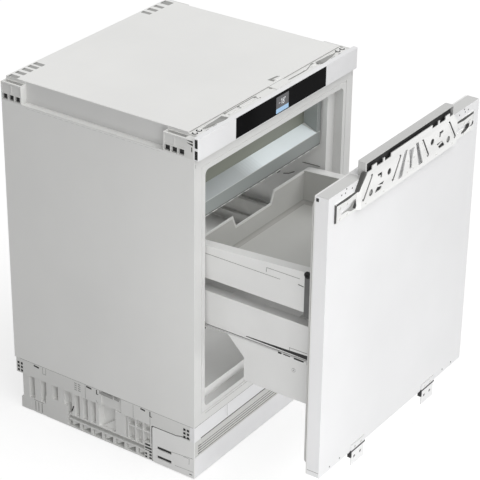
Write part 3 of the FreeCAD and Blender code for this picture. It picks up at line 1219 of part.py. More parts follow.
def export_pieces():
    """Check each piece and write it to a file named after it."""
    doc.recompute()
    faulty = [item.Label for item in doc.Objects if {"Invalid", "Error"} & set(item.State)]
    if faulty:
        raise RuntimeError("not recomputed: " + ", ".join(faulty))
    os.makedirs("parts", exist_ok=True)
    for piece in pieces:
        if piece.Shape.isNull() or not piece.Shape.isValid() or not piece.Shape.Solids:
            raise RuntimeError("no valid solid: " + piece.Label)
        piece.Shape.exportStep("parts/%s.step" % piece.Label)


fill_sheet()
build_shell()
build_front()
build_corners()
build_evaporator()
build_base()
build_machine()
build_slides()
build_tubs()
build_door()
build_fixing_rail()
export_pieces()
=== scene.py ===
"""Undercounter freezer with a pull-out front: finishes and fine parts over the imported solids.

Lengths in the code are millimetres in the row frame: +X right, -Y front, +Z up.
"""

import json
import logging
import math
from collections import defaultdict
from dataclasses import dataclass, field, replace
from enum import Enum
from typing import Iterable, Sequence

import bpy
import numpy as np
from mathutils import Matrix, Vector

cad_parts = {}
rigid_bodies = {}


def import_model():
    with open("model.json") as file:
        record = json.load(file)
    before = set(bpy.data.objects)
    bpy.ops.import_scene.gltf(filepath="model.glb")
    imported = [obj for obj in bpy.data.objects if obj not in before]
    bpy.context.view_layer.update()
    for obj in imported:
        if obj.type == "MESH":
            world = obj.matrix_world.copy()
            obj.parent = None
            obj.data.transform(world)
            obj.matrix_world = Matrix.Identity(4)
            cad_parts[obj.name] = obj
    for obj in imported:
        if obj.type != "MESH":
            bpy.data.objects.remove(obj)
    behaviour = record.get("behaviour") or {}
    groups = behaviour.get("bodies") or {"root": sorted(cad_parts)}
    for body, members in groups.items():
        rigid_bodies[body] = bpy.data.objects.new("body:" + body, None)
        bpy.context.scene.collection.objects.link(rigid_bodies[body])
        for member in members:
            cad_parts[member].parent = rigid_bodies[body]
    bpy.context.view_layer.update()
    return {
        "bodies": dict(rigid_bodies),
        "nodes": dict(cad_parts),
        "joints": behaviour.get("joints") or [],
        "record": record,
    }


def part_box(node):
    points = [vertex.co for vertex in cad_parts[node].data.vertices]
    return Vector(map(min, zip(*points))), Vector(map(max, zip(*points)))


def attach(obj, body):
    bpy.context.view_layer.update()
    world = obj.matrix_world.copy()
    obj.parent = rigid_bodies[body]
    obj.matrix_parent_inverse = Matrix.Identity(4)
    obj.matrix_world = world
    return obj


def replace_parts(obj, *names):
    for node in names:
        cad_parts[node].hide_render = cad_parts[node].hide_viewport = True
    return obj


LOG = logging.getLogger("freezer")
MM = 0.001
TAU = 2 * math.pi

# Planes of the solids that several sub-assemblies share.
FRONT = -91.15
BACK = 415.85
HALF = 298.5
DOOR_BACK = -375.65
PANEL_TOP = 771.6

# Height of a thin plate, width of a part line, and the corner radius of tight corners as a share of the side.
RELIEF = 0.2
LINE = 0.9
TIGHT = 0.1

# Bevel of a thin plate as a share of its height and at most, and how far its foot goes into the face.
BEVEL_SHARE, BEVEL_LIMIT = 0.3, 0.15
SINK = 0.1

# Share by which a finish's roughness drifts over the surface.
ROUGH_DRIFT = 0.2

Array = np.ndarray
Point = Sequence[float]
Shape = tuple[Array, list[list[int]]]
Feeds = dict[str | int, object]


class Body(str, Enum):
    """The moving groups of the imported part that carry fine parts."""

    CABINET = "cabinet"
    DRAWER = "drawer_front"


class Facing(Enum):
    """Which way a flat feature looks: its across, up and outward directions."""

    FRONT = ((1, 0, 0), (0, 0, 1), (0, -1, 0))
    BACK = ((1, 0, 0), (0, 0, 1), (0, 1, 0))
    TOP = ((1, 0, 0), (0, 1, 0), (0, 0, 1))
    UNDER = ((1, 0, 0), (0, 1, 0), (0, 0, -1))
    LEFT = ((0, 1, 0), (0, 0, 1), (-1, 0, 0))
    RIGHT = ((0, 1, 0), (0, 0, 1), (1, 0, 0))


class Side(Enum):
    """The two sides of the plane of symmetry."""

    LEFT = -1
    RIGHT = 1

    def face(self, level: float) -> "Face":
        """The face that looks to this side, at this distance from the plane of symmetry."""
        return Face(Facing[self.name], level)

    def carried(self, points: Iterable[Point], lift: float = 0.0) -> list[tuple[float, float]]:
        """Points given for the right-hand side, carried to this side and lifted."""
        return [(self.value * across, up + lift) for across, up in points]

    def of(self, name: str) -> str:
        """The name of the solid that stands on this side."""
        return "%s_%s" % (name, self.name.lower())


class Texture(Enum):
    """The kinds of fine surface that the finishes have."""

    PAINT = "paint"
    MOULDED = "moulded"
    SHEET = "sheet"
    GLASS = "glass"
    RUBBER = "rubber"
    FOAM = "foam"


@dataclass(frozen=True)
class Grain:
    """Size and depth of a surface's fine texture.

    Args:
        scale: cells per metre of the fine relief.
        depth: height of the relief in millimetres.
        stretch: how much longer the cells are along X, Y and Z.
        cloud: cells per metre of the slow change of tone.
    """

    scale: float
    depth: float
    stretch: tuple[float, float, float] = (1.0, 1.0, 1.0)
    cloud: float = 5.0


GRAINS = {
    Texture.PAINT: Grain(420.0, 0.02, cloud=3.0),
    Texture.MOULDED: Grain(1500.0, 0.03, cloud=7.0),
    Texture.SHEET: Grain(700.0, 0.02, (0.08, 1.0, 1.0), 24.0),
    Texture.GLASS: Grain(30.0, 0.002, cloud=8.0),
    Texture.RUBBER: Grain(2200.0, 0.05, cloud=12.0),
    Texture.FOAM: Grain(350.0, 0.6, cloud=30.0),
}


def linear(colour: Point) -> tuple[float, float, float, float]:
    """Turn a colour as seen on screen, each part from 0 to 1, into linear light with full cover."""
    parts = [c / 12.92 if c <= 0.04045 else ((c + 0.055) / 1.055) ** 2.4 for c in colour]
    return (*parts, 1.0)


class Graph:
    """The node tree of a material or of the world."""

    def __init__(self, owner: bpy.types.Material | bpy.types.World) -> None:
        """Switch the owner's nodes on."""
        owner.use_nodes = True
        self.tree = owner.node_tree

    def feed(self, node: bpy.types.Node, inputs: Feeds) -> bpy.types.Node:
        """Link a node's inputs to sockets, or set them to plain values.

        Args:
            node: the node.
            inputs: a socket or a plain value for each input's name or number.
        Returns:
            The node itself.
        """
        for name, value in inputs.items():
            if isinstance(value, bpy.types.NodeSocket):
                self.tree.links.new(value, node.inputs[name])
            else:
                node.inputs[name].default_value = value
        return node

    def add(self, kind: str, output: str, inputs: Feeds) -> bpy.types.NodeSocket:
        """Add a node of a kind, feed it and give back the output of this name."""
        return self.feed(self.tree.nodes.new("ShaderNode" + kind), inputs).outputs[output]

    def seen_directly(self) -> bpy.types.NodeSocket:
        """Tell the rays that see a surface directly from those that only light it.

        Returns:
            A socket that is 1 for rays of the camera, of gloss and through glass.
        """
        rays = self.tree.nodes.new("ShaderNodeLightPath").outputs
        seen = rays["Is Camera Ray"]
        for kind in ("Is Glossy Ray", "Is Transmission Ray"):
            seen = self.add("Math", "Value", {0: seen, 1: rays[kind]})
            seen.node.operation = "MAXIMUM"
        return seen


@dataclass(frozen=True)
class Finish:
    """One procedural finish.

    Args:
        name: the material's name.
        slot: the record's material slot that it stands for; not used by this script.
        colour: its colour as seen on screen.
        rough: middle roughness.
        texture: kind of fine surface.
        metal: 1 for bare metal.
        mottle: share by which the tone drifts over the surface.
        gloss: strength of the plain reflection.
        glow: strength of its own light.
        ior: refractive index.
    """

    name: str
    slot: str
    colour: tuple[float, float, float]
    rough: float
    texture: Texture = Texture.MOULDED
    metal: float = 0.0
    mottle: float = 0.02
    gloss: float = 0.5
    glow: float = 0.0
    ior: float = 1.5

    def towards(self, other: "Finish", share: float) -> "Finish":
        """This finish with its colour carried a share of the way to another's."""
        colour = tuple(a + share * (b - a) for a, b in zip(self.colour, other.colour))
        return replace(self, name="%s_%02d" % (self.name, round(100 * share)), colour=colour)

    def material(self) -> bpy.types.Material:
        """Build the material once, on Object coordinates.

        A slow noise drifts the tone and the roughness, a fine one lifts the relief.

        Returns:
            The material of this name.
        """
        found = bpy.data.materials.get(self.name)
        if found:
            return found
        grain = GRAINS[self.texture]
        made = bpy.data.materials.new(self.name)
        graph = Graph(made)
        place = graph.add("TexCoord", "Object", {})
        place = graph.add("Mapping", "Vector", {"Vector": place, "Scale": grain.stretch})
        slow = graph.add("TexNoise", "Fac", {"Vector": place, "Scale": grain.cloud, "Detail": 5.0})
        fine = graph.add("TexNoise", "Fac", {"Vector": place, "Scale": grain.scale, "Detail": 3.0})
        tone = graph.add("ValToRGB", "Color", {"Fac": slow})
        stops = ((0.25, 1 - self.mottle), (0.75, 1 + self.mottle))
        for element, (position, share) in zip(tone.node.color_ramp.elements, stops):
            element.position = position
            element.color = linear([min(1.0, c * share) for c in self.colour])
        rough = graph.add("MapRange", "Result", {
            "Value": slow, "From Min": 0.3, "From Max": 0.7, "To Min": self.rough * (1 - ROUGH_DRIFT),
            "To Max": min(1.0, self.rough * (1 + ROUGH_DRIFT))})
        relief = graph.add("Bump", "Normal", {
            "Height": fine, "Strength": 0.35, "Distance": grain.depth * MM})
        inputs = {"Base Color": tone, "Roughness": rough, "Normal": relief, "Metallic": self.metal,
                  "Specular IOR Level": self.gloss, "IOR": self.ior}
        if self.glow:
            inputs |= {"Emission Color": tone, "Emission Strength": self.glow}
        graph.feed(made.node_tree.nodes["Principled BSDF"], inputs)
        return made


# Painted steel and the front.
CABINET_STEEL = Finish("satin_cabinet_steel", "cabinet_steel", (0.925, 0.925, 0.918), 0.42, Texture.PAINT)
# Darker copy of the cabinet steel: painted shade on the rebates under the top and on the clinch marks.
REBATE_SHADE_STEEL = Finish("rebate_satin_steel", "cabinet_steel", (0.85, 0.85, 0.845), 0.5, Texture.PAINT)
FRAME_WHITE = Finish("front_frame_white", "white_front", (0.885, 0.885, 0.88), 0.4, Texture.PAINT)
WHITE_FRONT = Finish("white_front_moulding", "white_front", (0.935, 0.935, 0.94), 0.38)
DOOR_WHITE = Finish("door_skin_white", "door_white", (0.955, 0.955, 0.958), 0.4, Texture.PAINT)
# Darker copy of the door's white: painted shade on the door's top and on the tops of the clip flanges.
DOOR_TOP_SHADE = Finish("door_cap_grey", "door_white", (0.82, 0.82, 0.815), 0.45, Texture.PAINT)
CLIP_WHITE = Finish("clip_bright_white", "zinc_sheet", (0.985, 0.985, 0.985), 0.45, Texture.PAINT,
                    mottle=0.01)
BLACK_SHELL = Finish("black_enamel_shell", "black_shell", (0.11, 0.11, 0.115), 0.36, Texture.PAINT,
                     mottle=0.1)

# The control panel.
BLACK_GLASS = Finish("black_panel_glass", "black_glass", (0.08, 0.08, 0.083), 0.12, Texture.GLASS,
                     mottle=0.04, gloss=0.15, ior=1.12)
DISPLAY_GREY = Finish("display_grey", "display", (0.39, 0.39, 0.40), 0.3, Texture.GLASS, gloss=0.2, glow=0.05)
DISPLAY_BLUE = Finish("display_blue", "display", (0.66, 0.79, 0.91), 0.3, Texture.GLASS, gloss=0.2, glow=0.12)
DISPLAY_WHITE = Finish("display_white", "display", (0.93, 0.94, 0.95), 0.3, Texture.GLASS, gloss=0.2,
                       glow=0.2)

# Mouldings of the room, the cover over the evaporator and the tubs.
WHITE_LINER = Finish("white_liner_sheet", "white_liner", (0.93, 0.93, 0.925), 0.36)
COVER_GREY = Finish("cover_moulding_grey", "white_liner", (0.78, 0.79, 0.785), 0.45)
COVER_OLIVE = Finish("cover_shaded_olive", "white_liner", (0.53, 0.54, 0.50), 0.5, mottle=0.04)
# Darker copy of the cover's grey: painted shade on the pocket's face and cheeks.
COVER_FACE_SHADE = Finish("cover_face_grey", "white_liner", (0.58, 0.60, 0.595), 0.5)
# Ends of the shelf's grading: painted shade at its left, painted light with a blue cast at its right.
SHELF_SHADE = Finish("cover_shelf_dim", "white_liner", (0.69, 0.71, 0.715), 0.4)
SHELF_LIGHT = Finish("cover_shelf_cool_white", "white_liner", (0.89, 0.92, 0.93), 0.4)
LAMP_STRIP = Finish("lamp_strip_cool", "white_liner", (0.93, 0.96, 1.0), 0.4, glow=0.5)
TUB_PLASTIC = Finish("tub_moulding", "tub_plastic", (0.93, 0.93, 0.925), 0.34)
# Darker copy of the tub plastic: painted shade inside the upper tub.
TUB_SHADE_LINING = Finish("tub_inside_grained", "tub_plastic", (0.785, 0.785, 0.773), 0.5)
# Lighter strip along the dipped rear wall's upper edge: painted highlight of the rounded rim.
TUB_RIM_HIGHLIGHT = Finish("tub_lip_smooth", "tub_plastic", (0.90, 0.90, 0.89), 0.4)
TUB_CORNER = Finish("tub_corner_shaded", "tub_plastic", (0.675, 0.672, 0.658), 0.5)
BOX_PLASTIC = Finish("cover_box_moulding", "box_plastic", (0.79, 0.79, 0.785), 0.45)

# Mouldings of the base, and the shades of recesses, joints and slots.
BASE_MOULDING = Finish("base_moulding_grey", "base_moulding", (0.88, 0.88, 0.872), 0.5)
BASE_COVER = Finish("base_cover_pale", "base_moulding", (0.935, 0.935, 0.93), 0.5)
GRILLE_WHITE = Finish("grille_moulding_pale", "base_moulding", (0.825, 0.825, 0.815), 0.45)
FOOT_PLASTIC = Finish("foot_moulding_grey", "foot_plastic", (0.72, 0.72, 0.71), 0.5)
RECESS_GREY = Finish("shaded_recess_grey", "base_moulding", (0.62, 0.62, 0.612), 0.6)
# Real seams, and painted shade and shadow on the worktop strip.
SEAM_AND_SHADOW_GREY = Finish("seam_light_grey", "base_moulding", (0.56, 0.56, 0.55), 0.65)
# Real parting lines, and painted shade in gaps, pocket depths and round a boss.
SHADOW_LINE = Finish("parting_line_grey", "base_moulding", (0.42, 0.42, 0.41), 0.7)
EDGE_DARK = Finish("edge_shadow_grey", "black_plastic", (0.29, 0.29, 0.285), 0.7)
# Near black: painted shade deep in slots, holes, pockets and gaps, and a few small black parts.
DEEP_SLOT = Finish("slot_depth_dark", "black_plastic", (0.13, 0.13, 0.13), 0.8)
BLACK_PLASTIC = Finish("black_moulding", "black_plastic", (0.10, 0.10, 0.105), 0.5, mottle=0.08)

# Bare metal, rubber and foam.
ZINC_SHEET = Finish("zinc_coated_sheet", "zinc_sheet", (0.93, 0.93, 0.925), 0.34, Texture.SHEET, 0.75, 0.05)
RAIL_GREY = Finish("rail_grey_steel", "zinc_sheet", (0.80, 0.80, 0.79), 0.6, Texture.SHEET, 0.15, 0.05)
BRACKET_GREY = Finish("drawer_bracket_grey", "zinc_sheet", (0.40, 0.40, 0.40), 0.5, Texture.SHEET, 0.3, 0.08)
SCREW_STEEL = Finish("screw_zinc", "zinc_sheet", (0.78, 0.78, 0.77), 0.3, Texture.SHEET, 1.0, 0.06)
ALUMINIUM = Finish("bare_aluminium_fins", "bare_aluminium", (0.80, 0.81, 0.82), 0.33, Texture.SHEET, 1.0,
                   0.05)
HEATER_STEEL = Finish("heater_tube_steel", "heater_steel", (0.62, 0.60, 0.58), 0.35, Texture.SHEET, 1.0, 0.06)
COPPER = Finish("refrigerant_copper", "heater_steel", (0.80, 0.52, 0.38), 0.32, Texture.SHEET, 1.0, 0.06)
SEAL_RUBBER = Finish("gasket_soft_white", "seal_rubber", (0.83, 0.83, 0.82), 0.62, Texture.RUBBER)
MOUNT_RUBBER = Finish("mount_rubber_black", "mount_rubber", (0.12, 0.12, 0.12), 0.7, Texture.RUBBER,
                      mottle=0.1)
INSULATION = Finish("insulation_foam", "insulation", (0.86, 0.80, 0.62), 0.9, Texture.FOAM, mottle=0.08)

Stock = dict[Finish, list[Shape]]


def surface(grid: Array, endless: bool = False) -> Shape:
    """Skin a grid of rings, each row closed on itself.

    Args:
        grid: rows by columns by three coordinates; a row is one closed ring.
        endless: whether the last ring joins the first; if not, both have a flat cap.
    Returns:
        Points and faces.
    """
    rows, columns, _ = grid.shape
    index = np.arange(rows * columns).reshape(rows, columns)
    after, below = np.roll(index, -1, axis=1), np.roll(index, -1, axis=0)
    quads = np.stack([index, after, np.roll(after, -1, axis=0), below], axis=-1)
    if endless:
        return grid.reshape(-1, 3), quads.reshape(-1, 4).tolist()
    caps = [index[0, ::-1].tolist(), index[-1].tolist()]
    return grid.reshape(-1, 3), quads[:-1].reshape(-1, 4).tolist() + caps


def outward(shape: Shape) -> list[list[int]]:
    """The faces of a closed shape, turned round where they look inward.

    They look inward where the sum of the small pyramids from the origin to each face is negative.

    Args:
        shape: points and faces.
    Returns:
        The faces that look outward.
    """
    points, faces = shape
    volume = 0.0
    for face in faces:
        corners = points[face]
        fan = np.cross(corners[1:-1] - corners[0], corners[2:] - corners[0])
        volume += float((fan * corners[0]).sum())
    return faces if volume >= 0 else [face[::-1] for face in faces]


def inset(outline: Array, amount: float) -> Array:
    """Move a closed outline inward by an even amount along the halving lines of its corners.

    Args:
        outline: points across and up.
        amount: how far each edge moves.
    Returns:
        The smaller outline.
    """
    ahead = np.roll(outline, -1, axis=0) - outline
    ahead = ahead / np.linalg.norm(ahead, axis=1, keepdims=True)
    left = np.stack([-ahead[:, 1], ahead[:, 0]], axis=1)
    before = np.roll(left, 1, axis=0)
    share = 1 + (left * before).sum(axis=1, keepdims=True)
    area = (outline[:, 0] * np.roll(outline[:, 1], -1) - np.roll(outline[:, 0], -1) * outline[:, 1]).sum()
    return outline + math.copysign(amount, area) * (left + before) / np.maximum(share, 0.3)


def rounded(width: float, height: float, radius: float, steps: int = 5) -> Array:
    """Outline of a rectangle about the origin with round corners.

    Args:
        width: its width.
        height: its height.
        radius: radius of its corners.
        steps: points of each corner.
    Returns:
        Points across and up.
    """
    turns = np.linspace(0, math.pi / 2, steps)
    corners = []
    for quarter, (right, up) in enumerate(((1, 1), (-1, 1), (-1, -1), (1, -1))):
        angle = turns + quarter * math.pi / 2
        corners.append(np.stack([right * (width / 2 - radius) + radius * np.cos(angle),
                                 up * (height / 2 - radius) + radius * np.sin(angle)], axis=1))
    return np.concatenate(corners)


def ring(radius: float, count: int) -> Array:
    """Outline of a circle about the origin."""
    angle = np.arange(count) * TAU / count
    return radius * np.stack([np.cos(angle), np.sin(angle)], axis=1)


def oblong(left: float, low: float, right: float, high: float) -> list[tuple[float, float]]:
    """Corners of an upright rectangle."""
    return [(left, low), (right, low), (right, high), (left, high)]


def bar(head: Array, tail: Array, left: float, right: float, reach: float = 0.0) -> list[Array]:
    """Corners of a slanted oblong that follows a line.

    Args:
        head: one end of the line.
        tail: its other end.
        left: how far the edge at smaller X is from the line.
        right: how far the edge at larger X is from it.
        reach: how far the oblong goes past both ends.
    Returns:
        Four corners.
    """
    along = (tail - head) / np.linalg.norm(tail - head)
    across = np.array((-along[1], along[0]))
    across = across if across[0] > 0 else -across
    head, tail = head - along * reach, tail + along * reach
    return [head - across * left, tail - across * left, tail + across * right, head + across * right]


def both(points: Iterable[tuple[float, float]]) -> list[tuple[float, float]]:
    """The points and their mirror images across the plane of symmetry."""
    listed = list(points)
    return listed + Side.LEFT.carried(listed)


def sheet(corners: Iterable[Point], thick: float) -> Shape:
    """A sheet in any slope: its outline in the row frame, carried straight up."""
    low = np.array(list(corners), float)
    return surface(np.stack([low, low + (0, 0, thick)]))


def smoothed(points: Iterable[Point], steps: int = 8) -> Array:
    """A smooth line through the given points, each stretch a cubic of its four neighbours.

    Args:
        points: places that the line goes through.
        steps: points of each stretch.
    Returns:
        The points of the line.
    """
    knots = np.array(list(points), float)
    padded = np.concatenate([2 * knots[:1] - knots[1:2], knots, 2 * knots[-1:] - knots[-2:-1]])
    t = np.linspace(0, 1, steps, endpoint=False)[:, None]
    runs = []
    for a, b, c, d in zip(padded, padded[1:], padded[2:], padded[3:]):
        square, cube = 2 * a - 5 * b + 4 * c - d, 3 * b - a - 3 * c + d
        runs.append(0.5 * (2 * b + (c - a) * t + square * t ** 2 + cube * t ** 3))
    return np.concatenate(runs + [knots[-1:]])


def tube(points: Iterable[Point], radius: float, count: int = 12) -> Shape:
    """A round tube: a circle carried along a smooth line, its frame turned as little as possible.

    Args:
        points: places that the line goes through.
        radius: radius of the tube.
        count: steps round it.
    Returns:
        Points and faces.
    """
    line = smoothed(points)
    ahead = np.gradient(line, axis=0)
    ahead /= np.linalg.norm(ahead, axis=1, keepdims=True)
    oblique = (0.31, 0.17, 0.94)
    side = np.cross(ahead[0], oblique)
    circle = ring(radius, count)
    rows = []
    for place, along in zip(line, ahead):
        side = side - along * (side @ along)
        side = side / np.linalg.norm(side)
        rows.append(place + circle[:, :1] * side + circle[:, 1:] * np.cross(along, side))
    return surface(np.stack(rows))


@dataclass(frozen=True)
class Face:
    """A flat face that fine parts stand on; places on it are given across and up.

    Args:
        facing: which way it looks.
        level: its place along that direction.
    """

    facing: Facing
    level: float

    def raised(self, amount: float) -> "Face":
        """The parallel face this far further out."""
        return replace(self, level=self.level + amount)

    def placed(self, local: Array, across: float, up: float) -> Array:
        """Carry points given as across, up and outward to where they sit about a place on the face."""
        return (local + np.array((across, up, self.level))) @ np.array(self.facing.value, float)

    def stacked(self, rings: Iterable[tuple[Array, float]], across: float = 0.0, up: float = 0.0) -> Shape:
        """Skin outlines that lie over one another, each at its own height over the face.

        Args:
            rings: pairs of an outline and its height.
            across: place of the outlines' origin across the face.
            up: its place up the face.
        Returns:
            Points and faces.
        """
        grid = np.stack([np.column_stack([flat, np.full(len(flat), out)]) for flat, out in rings])
        return surface(self.placed(grid, across, up))

    def plate(self, outline: Array, thick: float, across: float, up: float, edge: float,
              sink: float) -> Shape:
        """A flat piece: its outline carried straight outward, narrowed at its outer end by a bevel.

        Args:
            outline: closed outline across and up.
            thick: how far it stands out.
            across: place of the outline's origin across the face.
            up: its place up the face.
            edge: size of the bevel.
            sink: how far its foot goes into the face.
        Returns:
            Points and faces.
        """
        rings = ((outline, -sink), (outline, thick - edge), (inset(outline, edge), thick))
        return self.stacked(rings, across, up)

    def slab(self, points: Iterable[Point], thick: float = RELIEF, across: float = 0.0,
             up: float = 0.0) -> Shape:
        """A low plate with straight edges between the points given."""
        outline = np.array(list(points), float)
        return self.plate(outline, thick, across, up, min(BEVEL_SHARE * thick, BEVEL_LIMIT), SINK)

    def patch(self, across: float, up: float, wide: float, tall: float, thick: float = RELIEF,
              corner: float = 0.2) -> Shape:
        """A low oblong plate; the corner radius is a share of its shorter side."""
        return self.slab(rounded(wide, tall, corner * min(wide, tall)), thick, across, up)

    def turned(self, profile: Iterable[Point], across: float, up: float, count: int = 24) -> Shape:
        """A turned piece: radii and outward heights of its profile carried round its axis."""
        return self.stacked([(ring(radius, count), height) for radius, height in profile], across, up)

    def disc(self, across: float, up: float, radius: float, thick: float = RELIEF) -> Shape:
        """A low round plate with a small bevel.

        Args:
            across: its middle across the face.
            up: its middle up the face.
            radius: its radius.
            thick: how far it stands out.
        Returns:
            Points and faces.
        """
        edge = BEVEL_SHARE * thick
        profile = ((radius, -SINK), (radius, thick - edge), (radius - edge, thick), (0.3 * radius, thick))
        return self.turned(profile, across, up)

    def screw(self, radius: float, across: float, up: float, count: int = 32) -> Shape:
        """A domed screw head with a cross recess.

        The height over radius r and angle a is a dome that falls off with the square of r, less a recess
        whose depth fades out beyond the arms of a cross.

        Args:
            radius: radius of the head.
            across: its middle across the face.
            up: its middle up the face.
            count: steps round it.
        Returns:
            Points and faces.
        """
        rise, arm_width, arm_reach, depth = 0.55, 0.16, 0.62, 0.34
        shares = np.array([1.0, 1.0, 0.94, 0.8, 0.64, 0.5, 0.36, 0.22, 0.1])[:, None]
        circle = ring(radius, count)
        wide, tall = shares * circle[:, 0], shares * circle[:, 1]
        arm = np.minimum(np.abs(wide), np.abs(tall)) / (arm_width * radius)
        reach = np.maximum(np.abs(wide), np.abs(tall)) / (arm_reach * radius)
        recess = depth * radius * np.clip(1.6 - arm, 0, 1) * np.clip(4 * (1 - reach), 0, 1)
        height = rise * radius * (1 - rise * shares ** 2) - recess
        height[0] = -SINK
        return surface(self.placed(np.stack([wide, tall, height], axis=-1), across, up))

    def strip(self, points: Iterable[Point], width: float, height: float) -> Shape:
        """A low ridge: a small trapezium carried along a line on the face, mitred at its corners.

        Args:
            points: the line, across and up.
            width: width of its foot.
            height: how far it stands out.
        Returns:
            Points and faces.
        """
        line = np.array(list(points), float)
        ahead = np.diff(line, axis=0)
        ahead /= np.linalg.norm(ahead, axis=1, keepdims=True)
        first, last = np.vstack([ahead[:1], ahead]), np.vstack([ahead, ahead[-1:]])
        left = np.stack([-(first + last)[:, 1], (first + last)[:, 0]], axis=1)
        left /= np.maximum(1 + (first * last).sum(axis=1, keepdims=True), 0.3)
        section = ((-0.5, -0.3), (0.5, -0.3), (0.5, 0.6), (0.3, 1.0), (-0.3, 1.0), (-0.5, 0.6))
        rings = [np.column_stack([line + left * (width * share), np.full(len(line), height * out)])
                 for share, out in section]
        return surface(self.placed(np.stack(rings, axis=1), 0, 0))

    def framed(self, section: Array, wide: float, tall: float, corner: float, steps: int, up: float) -> Shape:
        """A section carried round a rectangle with round corners.

        Args:
            section: closed outline; its first number runs out from the rectangle, its second off the face.
            wide: the rectangle's width.
            tall: its height.
            corner: radius of its corners.
            steps: points of each corner.
            up: its middle up the face.
        Returns:
            Points and faces.
        """
        outline = rounded(wide, tall, corner, steps)
        away = (outline - np.sign(outline) * (np.array([wide, tall]) / 2 - corner)) / corner
        grid = np.empty((len(outline), len(section), 3))
        grid[..., :2] = outline[:, None] + away[:, None] * section[:, :1]
        grid[..., 2] = section[:, 1]
        return surface(self.placed(grid, 0, up), endless=True)


@dataclass
class Part:
    """One sub-assembly: the solids that it dresses and the fine parts that it adds.

    Args:
        nodes: packed objects by name.
        finishes: the finish of each solid by name.
        body: the moving group that carries its fine parts.
        stock: shapes gathered by finish, until they are made into pieces.
    """

    nodes: dict[str, bpy.types.Object]
    finishes: dict[str, Finish] = field(default_factory=dict)
    body: Body = Body.CABINET
    stock: Stock = field(default_factory=lambda: defaultdict(list))

    def dress(self) -> None:
        """Give each of this sub-assembly's solids its finish."""
        for name, finish in self.finishes.items():
            mesh = self.nodes[name].data
            mesh.materials.clear()
            mesh.materials.append(finish.material())
        LOG.info("%s: %d solids dressed", type(self).__name__, len(self.finishes))

    def build(self) -> None:
        """Add the fine parts."""

    def piece(self, name: str, finish: Finish, shapes: Sequence[Shape], body: str = "",
              smooth: float = 35.0) -> bpy.types.Object:
        """Join closed shapes into one mesh piece that rides on a body.

        Args:
            name: the piece's name.
            finish: its finish.
            shapes: points in millimetres and faces of each shape.
            body: the body that carries it, where that isn't the sub-assembly's own.
            smooth: largest angle in degrees that is shaded round.
        Returns:
            The new object.
        """
        points = np.concatenate([part for part, _ in shapes]) * MM
        starts = np.cumsum([0] + [len(part) for part, _ in shapes]).tolist()
        faces = [[n + start for n in face] for start, shape in zip(starts, shapes) for face in outward(shape)]
        mesh = bpy.data.meshes.new(name)
        mesh.from_pydata(points.tolist(), [], faces)
        mesh.update()
        mesh.polygons.foreach_set("use_smooth", np.ones(len(mesh.polygons), bool))
        mesh.set_sharp_from_angle(angle=math.radians(smooth))
        mesh.materials.append(finish.material())
        made = bpy.data.objects.new(name, mesh)
        bpy.context.scene.collection.objects.link(made)
        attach(made, body or self.body.value)
        LOG.info("piece %s: %d faces", name, len(faces))
        return made

    def pieces(self, names: dict[str, Finish]) -> None:
        """Make one piece of the shapes that the stock holds for each finish."""
        for name, finish in names.items():
            self.piece(name, finish, self.stock.pop(finish))


def sided(finish: Finish, *names: str) -> dict[str, Finish]:
    """The finish for the left and right solid of each name."""
    return {side.of(name): finish for name in names for side in Side}


